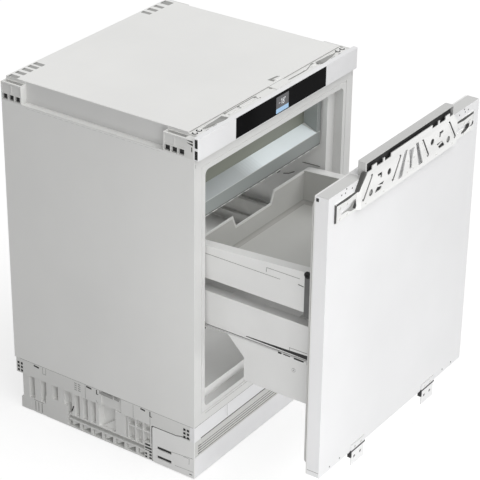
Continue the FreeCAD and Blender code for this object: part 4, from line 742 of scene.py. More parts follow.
@dataclass
class Cabinet(Part):
    """Outer panels, front frame, liner and foam."""

    finishes: dict[str, Finish] = field(default_factory=lambda: {
        "top_panel": CABINET_STEEL, "back_panel": CABINET_STEEL, "bottom_plate": ZINC_SHEET,
        "front_frame": FRAME_WHITE, "sill_trim": WHITE_FRONT, "inner_liner": WHITE_LINER,
        "insulation_foam": INSULATION, "worktop_strip": CABINET_STEEL, "worktop_clip": CABINET_STEEL,
        **sided(CABINET_STEEL, "side_panel"),
        **sided(BASE_MOULDING, "corner_block_front", "corner_block_rear")})
    top: Face = Face(Facing.TOP, 820.0)
    strip_top: Face = Face(Facing.TOP, 817.5)
    strip_front: Face = Face(Facing.FRONT, 64.15)
    front: Face = Face(Facing.FRONT, -FRONT)
    rear: Face = Face(Facing.BACK, BACK)
    stop_face: Face = Face(Facing.FRONT, 66)
    cap_half: float = 280.5
    sill_joint: float = 133.0
    screw_radius: float = 3.6

    def build(self) -> None:
        """Worktop strip, rear comb, ledges, corner plates, sill lines and rear wall."""
        self.build_strip()
        self.build_comb()
        self.build_ledges()
        self.build_corners()
        self.build_sill()
        self.build_rear()

    def build_strip(self) -> None:
        """Ring bosses, tapered recesses drawn as plates of painted shade that is darker at their ends, lines,
        and a hook with its painted shadow along the worktop strip.
        """
        top, strip_top = self.top, self.strip_top
        bosses = both(((274, -74.7), (258.5, -73.6)))
        boss = ((3.8, -0.4), (3.8, 1.4), (3.2, 2.0), (1.8, 2.0), (1.5, 0.6))
        self.piece("strip_bosses", CABINET_STEEL, [strip_top.turned(boss, *place) for place in bosses])

        # Grey plates for the tapered recesses, notches, a hole and the line along the strip's front edge:
        # painted shade.
        recess = ((250, -73.8), (175, -68.6), (171.5, -84), (183, -87.5), (240, -77.5))
        notches = ((-247, -86.4, 11, 2.6), (-221, -86.2, 14, 3), (221, -86.2, 14, 3), (247, -86.4, 11, 2.6))
        pale = [strip_top.slab(side.carried(recess)) for side in Side]
        pale += [strip_top.patch(*notch) for notch in notches]
        pale += [strip_top.disc(1.6, -70, 4.2), self.strip_front.patch(0, 818.7, 556, 2.2)]
        self.piece("strip_recesses", RECESS_GREY, pale)

        # Darker ends of the recesses and the shadow of the hook: painted shade and painted shadow.
        depth = ((189, -70.6), (176, -69.6), (172.5, -83.6), (182, -86.4))
        lines = (((-160, -67.5), (-55, -67.5)), ((-118, -67.5), (-118, -79)), ((-56, -67.5), (-58, -80)),
                 ((61, -75), (128, -77)), ((128, -77), (160, -68)))
        marks = ((-160, -67.4, 9, 4), (-117, -70, 8, 4), (-57, -70, 9, 5), (-52, -80, 4, 3), (10, -71, 9, 5),
                 (163, -68, 10, 4), (120, -76, 7, 3))
        hook_shade = ((29, -43), (58, -47), (62, -53), (52, -55), (50, -51), (36, -50), (36, -57), (29, -58))
        dark = [strip_top.raised(RELIEF).slab(side.carried(depth)) for side in Side]
        dark += [strip_top.strip(line, 2.0, 0.25) for line in lines]
        dark += [strip_top.patch(*mark, 0.35) for mark in marks]
        self.piece("strip_lines", SEAM_AND_SHADOW_GREY, dark + [top.slab(hook_shade)])
        self.piece("strip_boss_rings", DEEP_SLOT, [strip_top.disc(*place, 6.4) for place in bosses])
        hook = ((38, -60), (56, -60), (56, -54), (38, -52))
        self.piece("strip_hook", CABINET_STEEL, [top.slab(hook, 1.6)])

    def build_comb(self) -> None:
        """Pockets of the mouldings along the rear edge of the top, drawn as plates of painted shade that is
        darker at their far ends.
        """
        pockets = ((-274, 12), (-252.5, 11), (-231.5, 11), (-212, 11), (-193, 12), (185.5, 11), (208.5, 12),
                   (232.5, 11), (263, 20))
        floors = [self.top.patch(across, 398.5, wide, 25, corner=TIGHT) for across, wide in pockets]
        self.piece("rear_comb_pockets", RECESS_GREY, floors)
        over = self.top.raised(0.15)
        depths = [over.patch(across, 409, wide - 1, 3, corner=TIGHT) for across, wide in pockets]
        self.piece("rear_comb_depths", SHADOW_LINE, depths)

    def build_ledges(self) -> None:
        """Bands of painted shade on the rebates, rounded ledges and clinch marks along the upper edges of the
        side panels.
        """
        ends, pitch, edge = (-12.5, 174, 360), 15.0, HALF - 1.2
        bands = [side.face(self.cap_half).patch(173.8, 795.6, 372, 46, 0.3, 0.04) for side in Side]
        beads = [tube([(side.value * edge, along, PANEL_TOP) for along in ends], 1.3) for side in Side]
        marks = [side.face(HALF).patch(along, PANEL_TOP - 3.8, 9, 1.0, 0.15)
                 for side in Side for along in np.arange(-2, 356, pitch)]
        self.piece("rebate_bands", REBATE_SHADE_STEEL, bands)
        self.piece("ledge_beads", BASE_MOULDING, beads)
        self.piece("ledge_clinch_marks", REBATE_SHADE_STEEL, marks)

    def build_corners(self) -> None:
        """End plates of the corner blocks, with painted shade in their wedge slots and cells and in the
        fascia's end slots.
        """
        thick = 0.5
        end_plate = ((-89, 772.4), (-70.5, 772.4), (-70.5, 812.2), (-89, 813.2))
        wedges = (((-71.5, 811.6), (-87.6, 812.6), (-87.6, 808.6)), ((-72, 806.4), (-88, 806), (-88, 801.8)))
        rows = ((-58.8, 17.67), (371.0, 17.33))
        cells = [start + column * pitch for start, pitch in rows for column in range(3)]
        plates, dark = [], []
        for side in Side:
            panel = side.face(HALF)
            face, deep = panel.raised(thick), panel.raised(-6)
            plates.append(panel.slab(end_plate, thick))
            dark += [face.slab(wedge) for wedge in wedges]
            dark.append(face.patch(-85.3, 793.5, 2.2, 10))
            dark += [panel.patch(-95.8, middle, 7, 19, corner=TIGHT) for middle in (783, 808)]
            dark += [deep.patch(along, 781.1, 14.2, 12.6, thick, 0.05) for along in cells]
        self.piece("corner_end_plates", BASE_MOULDING, plates)
        self.piece("corner_end_slots", DEEP_SLOT, dark)

    def build_sill(self) -> None:
        """Parting lines of the sill and its trim, a dark joint under it and slide stops at the jambs."""
        seams = (((-258, 152), (258, 152)), ((-175.6, 131), (-175.6, 100)), ((-294, 760), (-294, 752)),
                 ((294, 760), (294, 752)))
        joint = self.sill_joint
        lines = [self.front.strip(seam, LINE, RELIEF) for seam in seams]
        lines.append(self.front.strip(((-297, joint), (297, joint)), 1.0, RELIEF))
        lines += [side.face(HALF).strip(((-88, joint), (402, joint)), 0.8, RELIEF) for side in Side]
        self.piece("sill_lines", SEAM_AND_SHADOW_GREY, lines)
        pin = ((2.4, -3.0), (2.4, 1.2), (1.8, 1.8), (0.9, 1.8))
        places = both(((229, 357), (227, 342), (231, 349)))
        stops = [self.front.raised(-RELIEF).strip(((-274, 96), (274, 96)), 2.4, 0.3)]
        stops += [self.stop_face.turned(pin, *place, 16) for place in places]
        self.piece("slide_stops", DEEP_SLOT, stops)

    def build_rear(self) -> None:
        """Folded ribs and screws on the rear wall."""
        rib = rounded(24, 380, 11)
        ribs = [self.rear.plate(rib, 2.2, across, 525, 1.8, 0.2) for across in (-180, -60, 60, 180)]
        self.piece("rear_wall_ribs", CABINET_STEEL, ribs)
        places = [(across, up) for across in np.linspace(-285, 285, 7) for up in (286, 762)]
        places += both((287, up) for up in np.linspace(380, 668, 4))
        heads = [self.rear.screw(self.screw_radius, *place) for place in places]
        self.piece("rear_wall_screws", SCREW_STEEL, heads)


@dataclass
class ControlPanel(Part):
    """Fascia, black glass and the display in it."""

    finishes: dict[str, Finish] = field(default_factory=lambda: {
        "control_fascia": WHITE_FRONT, "control_glass": BLACK_GLASS, "display_module": DISPLAY_GREY})
    glass: Face = Face(Facing.FRONT, 101.55)
    film: float = 0.12
    corner: float = 0.03
    foot: float = 775.1
    width: float = 46.6
    height: float = 37.0
    band: float = 10.4

    def build(self) -> None:
        """A grey field, a blue band under it and the figures of the temperature."""
        middle = self.foot + (self.height + self.band) / 2
        rows = (("display_field", DISPLAY_GREY, middle, self.height - self.band),
                ("display_band", DISPLAY_BLUE, self.foot + self.band / 2, self.band))
        for name, finish, up, tall in rows:
            self.piece(name, finish, [self.glass.patch(0, up, self.width, tall, self.film, self.corner)])
        self.build_figures(middle)

    def build_figures(self, middle: float) -> None:
        """Figures drawn as bars: a minus, a one and an eight, with a degree ring.

        Args:
            middle: height of their middle line.
        """
        angle = np.linspace(0, TAU, 17)
        circle = np.stack([np.cos(angle), np.sin(angle)], axis=1)
        lines = [np.array(line) for line in (((-13, -2), (-9, -2)), ((-5, 2.6), (-2.6, 4.8), (-2.6, -6.8)))]
        rings = ((3.6, 2.0, 2.4), (3.6, -3.8, 2.9), (9.2, 4.4, 1.1))
        lines += [radius * circle + (across, up) for across, up, radius in rings]
        film = self.glass.raised(self.film)
        figures = [film.strip(line + (0, middle), 1.3, 0.1) for line in lines]
        self.piece("display_figures", DISPLAY_WHITE, figures)


@dataclass
class Base(Part):
    """Side mouldings, covers, grille, toe kick and feet."""

    finishes: dict[str, Finish] = field(default_factory=lambda: {
        "toe_kick": WHITE_FRONT, "vent_grille": BASE_MOULDING, "base_tray": ZINC_SHEET,
        **sided(BASE_MOULDING, "base_rail"), **sided(BASE_COVER, "base_cover"),
        **sided(FOOT_PLASTIC, "foot_front", "foot_rear")})
    cover_back: float = 294.5
    bay: float = 282.5
    block: float = 14.2
    grille: Face = Face(Facing.FRONT, 90.2)
    grille_bed: Face = Face(Facing.FRONT, 79)
    blade_pitch: float = 6.6
    cell_pitch: float = 9.5
    thread_core: float = 6.03
    thread_crest: float = 6.6

    def build(self) -> None:
        """Marks on the belt and covers, fillers of the bays, the grille's blades and the feet's threads."""
        for side in Side:
            self.mark_belt(side)
            self.mark_cover(side)
            self.fill_cells(side)
        self.pieces({"base_ribs_and_blocks": BASE_MOULDING, "belt_part_lines": SEAM_AND_SHADOW_GREY,
                     "belt_slots": DEEP_SLOT, "belt_recesses": RECESS_GREY})
        self.build_grille()
        self.build_threads()

    def build_grille(self) -> None:
        """Louvre blades across the grille, a broad one over narrow ones, with end blocks and painted shade in
        the gaps between blades.
        """
        pitch = self.blade_pitch
        blades = [self.grille.patch(0, 86.8, 546, 14.6, 0.7, 0.05)]
        blades += [self.grille.patch(0, up, 546, 4.6, 0.7, TIGHT) for up in np.arange(56.0, 78, pitch)]
        blades += [self.grille_bed.patch(side.value * 284.6, 74.6, 20.8, 40, 11.2, 0.02) for side in Side]
        self.piece("grille_blades", GRILLE_WHITE, blades)
        gaps = [self.grille.patch(0, up, 566, 1.9, 0.8, TIGHT) for up in np.arange(59.3, 80, pitch)]
        self.piece("grille_gaps", SHADOW_LINE, gaps)

    def mark_belt(self, side: Side) -> None:
        """Slots, tabs, louvres and recesses of the belt over the side moulding, drawn as plates of painted
        shade.

        Args:
            side: which side it is.
        """
        panel, pitch = side.face(HALF), self.cell_pitch
        lines, dark, grey = (self.stock[finish] for finish in (SEAM_AND_SHADOW_GREY, DEEP_SLOT, RECESS_GREY))
        for rear, front, up in ((359.5, 344.5, 127.6), (207, 192, 128.6), (54.5, 42, 128.4)):
            dark.append(panel.slab(((rear, up + 2.6), (front, up + 1), (front, up - 3), (rear, up - 1.6))))
        cells = [(start + pitch * column, 101 + pitch * row)
                 for start in (-74.15, 396.35) for column in range(2) for row in range(3)]
        dark += [panel.raised(-1.5).patch(*cell, 6.9, 6.9, 0.5, 0.05) for cell in cells]
        for along, tall in ((177.5, 11), (28.5, 13)):
            dark.append(panel.patch(along, 130.5 - tall / 2, 2.6, tall, corner=TIGHT))
            dark.append(panel.patch(along - 2.2, 131 - tall, 6, 1.8, corner=TIGHT))
        seams = (((333.5, 131), (333.5, 115), (324.6, 115), (324.6, 131)), ((210, 131), (210, 97)),
                 ((180, 104), (176, 97)), ((75, 131), (75, 98)), ((28.5, 117), (28.5, 97)))
        lines += [panel.strip(seam, LINE, RELIEF) for seam in seams]
        louvre = np.array(((0, 0), (-7, -0.6), (-7, -3), (0, -2.4)))
        grey += [panel.slab(louvre, RELIEF, along, up)
                 for along in (241.5, 231) for up in (127, 121.5, 116, 110.5)]
        for rear, front in ((170, 132), (127.5, 114.5)):
            grey.append(panel.slab(((rear, 131), (front, 130), (front, 122.5), (rear, 124))))
        dark.append(panel.raised(-1.4).slab(((245, 60.5), (248, 61), (253.4, 46.5), (250.2, 45.5))))

    def fill_cells(self, side: Side) -> None:
        """Fillers, gussets and foot blocks in the bays of one side moulding, with painted shade under the
        gussets and on the blocks.

        Args:
            side: which side it is.
        """
        panel, bay = side.face(HALF), side.face(self.bay)
        solid, dark, grey = (self.stock[finish] for finish in (BASE_MOULDING, DEEP_SLOT, RECESS_GREY))
        solid += [panel.raised(-3).patch(along, 125, 13.9, 3.9, 3.0, 0.05)
                  for along in (351.85, 188.85, 25.85)]
        solid += [bay.patch(along, 19.5, 17, 34, 14.3, 0.02) for along in (334.6, 369.1)]
        for rear in np.arange(254.4, 60, -32.0):
            front, shelf = rear - 25, 20.6
            solid.append(bay.slab(((rear, shelf), (rear, 5.4), (front, shelf)), 10))
            # Grey triangle under the gusset: painted shade.
            grey.append(bay.slab(((rear, 5.2), (front, 5.2), (front, shelf)), 0.4))
        solid.append(bay.slab(((166, 37.5), (132, 37.5), (132, 64)), 8))
        foot = 35.4
        solid.append(bay.patch(foot, 23.6, 22, 42.4, self.block, 0.03))
        block = bay.raised(self.block)
        dark += [block.patch(foot, 7 + 8.2 * row, 18, 4.8, corner=TIGHT) for row in range(5)]
        # Grey marks on the foot block: painted shade.
        shade = block.raised(0.3)
        grey += [shade.patch(along, 19, 2.2, 24, corner=TIGHT) for along in (360, 351, 341)]
        grey.append(shade.strip(((364, 34), (336, 34)), 1.6, RELIEF))

    def mark_cover(self, side: Side) -> None:
        """Part lines and painted shade in the slots of the front cover, painted shadow along its top edge and
        the joint behind it.

        Args:
            side: which side it is.
        """
        panel, back = side.face(HALF), side.face(self.cover_back)
        seams = (((-30, 48.5), (-88, 53)), ((-62, 49.5), (-78, 49), (-77, 34)), ((-39, 16.8), (-88, 18.6)))
        joint = ((22.2, 95.6), (-43, 96.2), (-56, 99.6), (-80, 99.6))
        self.stock[SEAM_AND_SHADOW_GREY] += [panel.strip(seam, LINE, RELIEF) for seam in seams]
        dark = self.stock[DEEP_SLOT]
        dark.append(panel.patch(-81.5, 9.8, 8, 1.8))
        dark += [back.patch(-9.6, up, 45, 12, 0.8, TIGHT) for up in (20, 44)]
        # The dark line along the cover's top edge is painted shadow.
        dark.append(panel.strip(joint, 1.7, 0.3))
        dark.append(panel.raised(-1.6).strip(((23.6, 2.5), (23.6, 94)), 2.2, 0.3))

    def build_threads(self) -> None:
        """Threaded stems of the four feet."""
        core, crest, floor = self.thread_core, self.thread_crest, Face(Facing.TOP, 0.0)
        profile = [(core, 8.0)]
        for height in np.arange(8.5, 90, 2.0):
            profile += [(core, height), (crest, height + 0.9), (crest, height + 1.1)]
        profile.append((core, 92.0))
        for row in ("foot_front", "foot_rear"):
            for side in Side:
                name = side.of(row)
                low, high = (np.array(corner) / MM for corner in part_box(name))
                x, y, _ = (low + high) / 2
                self.piece(name + "_thread", FOOT_PLASTIC, [floor.turned(profile, x, y, 20)], name)


@dataclass
class Machine(Part):
    """Compressor, condenser and the pipes in the machine bay."""

    finishes: dict[str, Finish] = field(default_factory=lambda: {
        "compressor": BLACK_SHELL, "condenser": ALUMINIUM, "condenser_fan": BLACK_PLASTIC,
        "condenser_fan_motor": BLACK_PLASTIC, "power_inlet": BLACK_PLASTIC, "drain_tray": BLACK_PLASTIC,
        "compressor_mounts": MOUNT_RUBBER})
    axis: tuple[float, float] = (110.0, 293.85)
    mount_span: tuple[float, float] = (90.0, 60.0)
    tray: Face = Face(Facing.TOP, 12.0)
    seam_foot: Face = Face(Facing.TOP, 120.0)

    def build(self) -> None:
        """Waisted rubber mounts, copper pipes and the shell's weld seam."""
        mount = ((10.6, 0.0), (11.0, 1.0), (11.0, 6.5), (10.2, 7.6), (7.8, 8.2), (7.4, 10.0), (7.8, 11.8),
                 (10.2, 12.4), (11.0, 13.5), (10.8, 18.4), (9.6, 19.7), (4.2, 19.9), (4.0, 12.0))
        x, y = self.axis
        wide, deep = self.mount_span
        places = [(x + across * wide, y + back * deep) for across in (-1, 1) for back in (-1, 1)]
        mounts = [self.tray.turned(mount, *place, 32) for place in places]
        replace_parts(self.piece("rubber_mounts", MOUNT_RUBBER, mounts), "compressor_mounts")
        seam = ((77.9, 0.0), (80.2, 0.6), (80.2, 4.4), (77.9, 5.0))
        self.piece("compressor_seam", BLACK_SHELL, [self.seam_foot.turned(seam, x, y, 64)])
        routes = (
            (4.0, ((-70, -20, 110), (-92, -24, 112), (-104, -28, 150), (-104, -34, 236), (-120, -30, 250))),
            (3.0, ((-60, -45, 90), (-72, -75, 88), (-76, -150, 84), (-68, -250, 80), (-12, -312, 76))),
            (3.0, ((-40, -60, 82), (-45, -82, 82), (-46, -90, 120), (-46, -92, 140))))
        pipes = [tube(np.array(route) + (x, y, 0), radius) for radius, route in routes]
        self.piece("refrigerant_pipes", COPPER, pipes)


@dataclass
class Cold(Part):
    """Evaporator, its cover, the air duct and lamp."""

    finishes: dict[str, Finish] = field(default_factory=lambda: {
        "evaporator_coil": ALUMINIUM, "evaporator_cover": COVER_GREY, "rear_air_duct": WHITE_LINER,
        "evaporator_fan": BLACK_PLASTIC, "evaporator_fan_motor": BLACK_PLASTIC,
        "defrost_heater": HEATER_STEEL})
    lip: tuple[float, float] = (-54.15, 631.0)
    rise: tuple[float, float] = (-19.15, 646.0)
    floor_half: float = 213.5
    wall: float = 231.5
    foot: float = 598.0
    ceiling: float = 747.0
    gap: float = 0.5
    thick: float = 0.5
    shade: float = 0.9

    def build(self) -> None:
        """The pocket's shelf with painted light and its plates with painted shade, then its clips, its lamp
        and the marks on the inner walls.
        """
        self.build_shelf()
        self.build_plates()
        front = Face(Facing.FRONT, -self.lip[0])
        over = front.raised(self.shade)
        clips = [over.patch(across, 598.4, 17, 1.1, self.thick) for across in np.linspace(-205, 205, 15)]
        self.piece("cover_clips", WHITE_LINER, clips)
        hooks = (((223, 338), (200, 336), (183, 350)), ((43, 496), (28, 500), (13, 509)),
                 ((60, 492), (52, 500)), ((-8, 539), (-55, 541)), ((150, 388), (157, 372), (153, 341)))
        dark = [front.patch(0, 600.6, 456, 2.0, self.shade, TIGHT)]
        dark += [side.face(-self.wall).strip(hook, 2.0, 0.8) for side in Side for hook in hooks]
        self.piece("inner_wall_hooks", SHADOW_LINE, dark)
        lamp = Face(Facing.UNDER, 1 - self.ceiling).patch(0, FRONT + 60, 300, 8, 2.0, 0.35)
        self.piece("lamp_strip", LAMP_STRIP, [lamp])

    def build_plates(self) -> None:
        """Plates of painted shade on the back, face and cheeks of the pocket."""
        (near, low), (far, high) = self.lip, self.rise
        front, back = Face(Facing.FRONT, -near), Face(Facing.FRONT, -far)
        tall = self.ceiling - high
        plate = back.patch(0, high + tall / 2, 2 * self.floor_half, tall - 1, 0.4, 0.02)
        self.piece("cover_back_plate", COVER_OLIVE, [plate])
        tall = low - 1 - self.foot
        plate = front.patch(0, self.foot + tall / 2, 454, tall, self.thick, 0.12)
        self.piece("cover_face_plate", COVER_FACE_SHADE, [plate])
        near, far, crest = near + self.gap, far - self.gap, 730
        cheek = ((near, low + 1), (far, high + 1), (far, crest), (near, crest))
        cheeks = [side.face(-self.floor_half - 1).slab(cheek) for side in Side]
        cheeks += [front.patch(side.value * 221.6, 689.5, 13.2, 115, self.thick, 0.05) for side in Side]
        self.piece("cover_cheeks", COVER_FACE_SHADE, cheeks)

    def build_shelf(self) -> None:
        """The shelf behind the cover's lip, in strips whose painted light grows from the left towards the
        right.
        """
        (near, low), (far, high) = self.lip, self.rise
        near, far = near + self.gap, far - self.gap
        half, graded, slant = self.floor_half, 8, 9
        edges = [-half, *np.linspace(-62, 2, graded), half]
        for number, (start, end) in enumerate(zip(edges, edges[1:])):
            far_end = end - slant if end == half else end
            corners = ((start, near, low), (end, near, low), (far_end, far, high), (start, far, high))
            finish = SHELF_SHADE.towards(SHELF_LIGHT, number / graded)
            self.piece("cover_shelf_%d" % number, finish, [sheet(corners, self.thick)])


@dataclass
class Drawers(Part):
    """Tubs, side frames and telescopic rails."""

    finishes: dict[str, Finish] = field(default_factory=lambda: {
        "upper_tub": TUB_PLASTIC, "lower_tub": TUB_PLASTIC, **sided(TUB_PLASTIC, "carrier_frame"),
        **sided(ZINC_SHEET, "drawer_rail"), **sided(RAIL_GREY, "middle_rail", "fixed_rail")})
    body: Body = Body.DRAWER
    frame_face: float = 223.5
    deep_face: float = 222.25
    frame_ends: tuple[float, float] = (-34.0, -365.0)
    rail_top: Face = Face(Facing.TOP, 409.4)
    room_half: float = 200.3
    room_front: float = -363.15
    room_rear: float = -33.15
    room_floor: float = 457.5
    rim_front: float = 558.0
    rim_rear: float = 535.5
    rim_width: float = 10.0
    rim_lift: float = 0.1
    dip_floor: float = 508.0
    lining: float = 0.3
    cove_radius: float = 8.0

    def build(self) -> None:
        """The tub's lining with painted shade, the marks and brackets of the side frames, and the covers of
        the fixed rails.
        """
        self.build_lining()
        for side in Side:
            self.mark_frame(side)
        self.pieces({"drawer_part_lines": SHADOW_LINE, "drawer_slots": DEEP_SLOT,
                     "drawer_lips": TUB_PLASTIC, "drawer_brackets": BRACKET_GREY})
        covers = [self.rail_top.patch(side.value * 228, 123.85, 6.4, 369, 1.0, TIGHT) for side in Side]
        self.piece("rail_covers", RAIL_GREY, covers, Body.CABINET.value)

    def mark_frame(self, side: Side) -> None:
        """Lines, slots with painted shade, a wedge of painted shadow under the frame, a boss with painted
        shade round it, lips and a bracket on one side of the drawers.

        Args:
            side: which side it is.
        """
        frame, deep = side.face(self.frame_face), side.face(self.deep_face)
        lines, dark, lips = (self.stock[finish] for finish in (SHADOW_LINE, DEEP_SLOT, TUB_PLASTIC))
        seams = (((-34, 521), (-253, 520.6)), ((-218.6, 526), (-219.8, 537), (-300.8, 537)),
                 ((-280, 361), (-280, 367.5), (-348, 368.4)))
        lines += [frame.strip(seam, LINE, 0.25) for seam in seams]
        # The dark wedge under the frame is painted shadow.
        gap = ((-171, 357.4), (-277, 360.5), (-348, 364), (-348, 352.4), (-277, 354.4), (-171, 355.6))
        dark += [frame.strip(((-297, 523.2), (-310.5, 521.4)), 1.8, 0.3), frame.slab(gap)]
        slots = ((-255.6, 345.6, 9, 4.2), (-273, 345.4, 17, 2.2), (-303, 344.6, 24, 3.6), (-326, 342.6, 6, 7))
        dark += [deep.patch(*slot) for slot in slots]
        knob = ((7.5, -1.0), (7.5, 2.6), (6.4, 3.6), (2.4, 3.6), (2.0, 1.2))
        dark.append(frame.turned(knob, -319.5, 552))
        # The grey ring and dot of the boss are painted shade.
        boss = (-290.8, 316)
        lines += [deep.disc(*boss, 4.6), deep.raised(0.3).disc(*boss, 1.3)]
        lips.append(deep.raised(0.15).disc(*boss, 4.0))
        (rear, front), inner = self.frame_ends, 1.1
        lips.append(frame.raised(-inner).slab(oblong(rear, 351.7, front, 358.4), inner))
        lips.append(deep.raised(-1).slab(oblong(rear, 346, front, 348.8), 1.0))
        bracket = ((-312.5, 453), (-348, 446), (-348, 566), (-312.5, 549))
        self.stock[BRACKET_GREY].append(frame.slab(bracket, 1.0))

    def build_lining(self) -> None:
        """Lining of the upper tub in a darker grey that paints its shade: floor, walls with a dipped rear
        one, a cove of deeper painted shade, rims, and a painted highlight along the rear lip.
        """
        wide, foot, front, rear = self.room_half, self.room_floor, self.room_front, self.room_rear
        middle, long, thick = (front + rear) / 2, rear - front, self.lining
        floor, rear_wall = Face(Facing.TOP, foot), Face(Facing.FRONT, -rear)
        # A lighter strip just under the dipped rear edge: painted highlight of the rounded rim.
        drop = 2.1
        edge, low = self.rim_rear - drop, self.dip_floor - drop
        half_lip = [(67.1, low), (80.4, edge), (wide, edge)]
        lip = Side.LEFT.carried(half_lip[::-1]) + half_lip
        self.piece("upper_tub_lip", TUB_RIM_HIGHLIGHT, [rear_wall.raised(thick).strip(lip, 4, thick)])
        self.piece("upper_tub_cove", TUB_CORNER, [floor.framed(
            self.cove_section(), 2 * wide, long, self.cove_radius + 1, 7, middle)])

        # Floor, walls, front and rims of the lining, darker than the tub: painted shade.
        shapes = [floor.patch(0, middle, 2 * wide, long, thick, 0.005)]
        wall = ((front, foot), (rear, foot), (rear, self.rim_rear), (front, self.rim_front))
        shapes += [side.face(-wide).slab(wall, thick) for side in Side]
        dip = ((-wide, foot), (wide, foot), (wide, self.rim_rear), (79, self.rim_rear), (66, self.dip_floor),
               (-66, self.dip_floor), (-79, self.rim_rear), (-wide, self.rim_rear))
        shapes.append(rear_wall.slab(dip, thick))
        shapes.append(Face(Facing.BACK, front).slab(oblong(-wide, foot, wide, self.rim_front), thick))
        rims = {front: self.rim_front + self.rim_lift, rear: self.rim_rear + self.rim_lift}
        for side in Side:
            near, far = side.value * wide, side.value * (wide + self.rim_width)
            ends = ((near, front), (near, rear), (far, rear), (far, front))
            shapes.append(sheet([(across, deep, rims[deep]) for across, deep in ends], thick))
        self.piece("upper_tub_lining", TUB_SHADE_LINING, shapes)

    def cove_section(self) -> Array:
        """Section of the hollow fillet round the lining's floor: a quarter circle with a foot behind it.

        Returns:
            Points out from the room's edge and up from its floor.
        """
        reach, clear, back = self.cove_radius, 0.28, 0.4
        turn = np.linspace(0, math.pi / 2, 7)
        arc = np.stack([reach * (np.cos(turn) - 1) - clear, reach * (1 - np.sin(turn)) + clear], axis=1)
        return np.vstack([[(back, reach)], arc, [(-reach, -back), (back, -back)]])


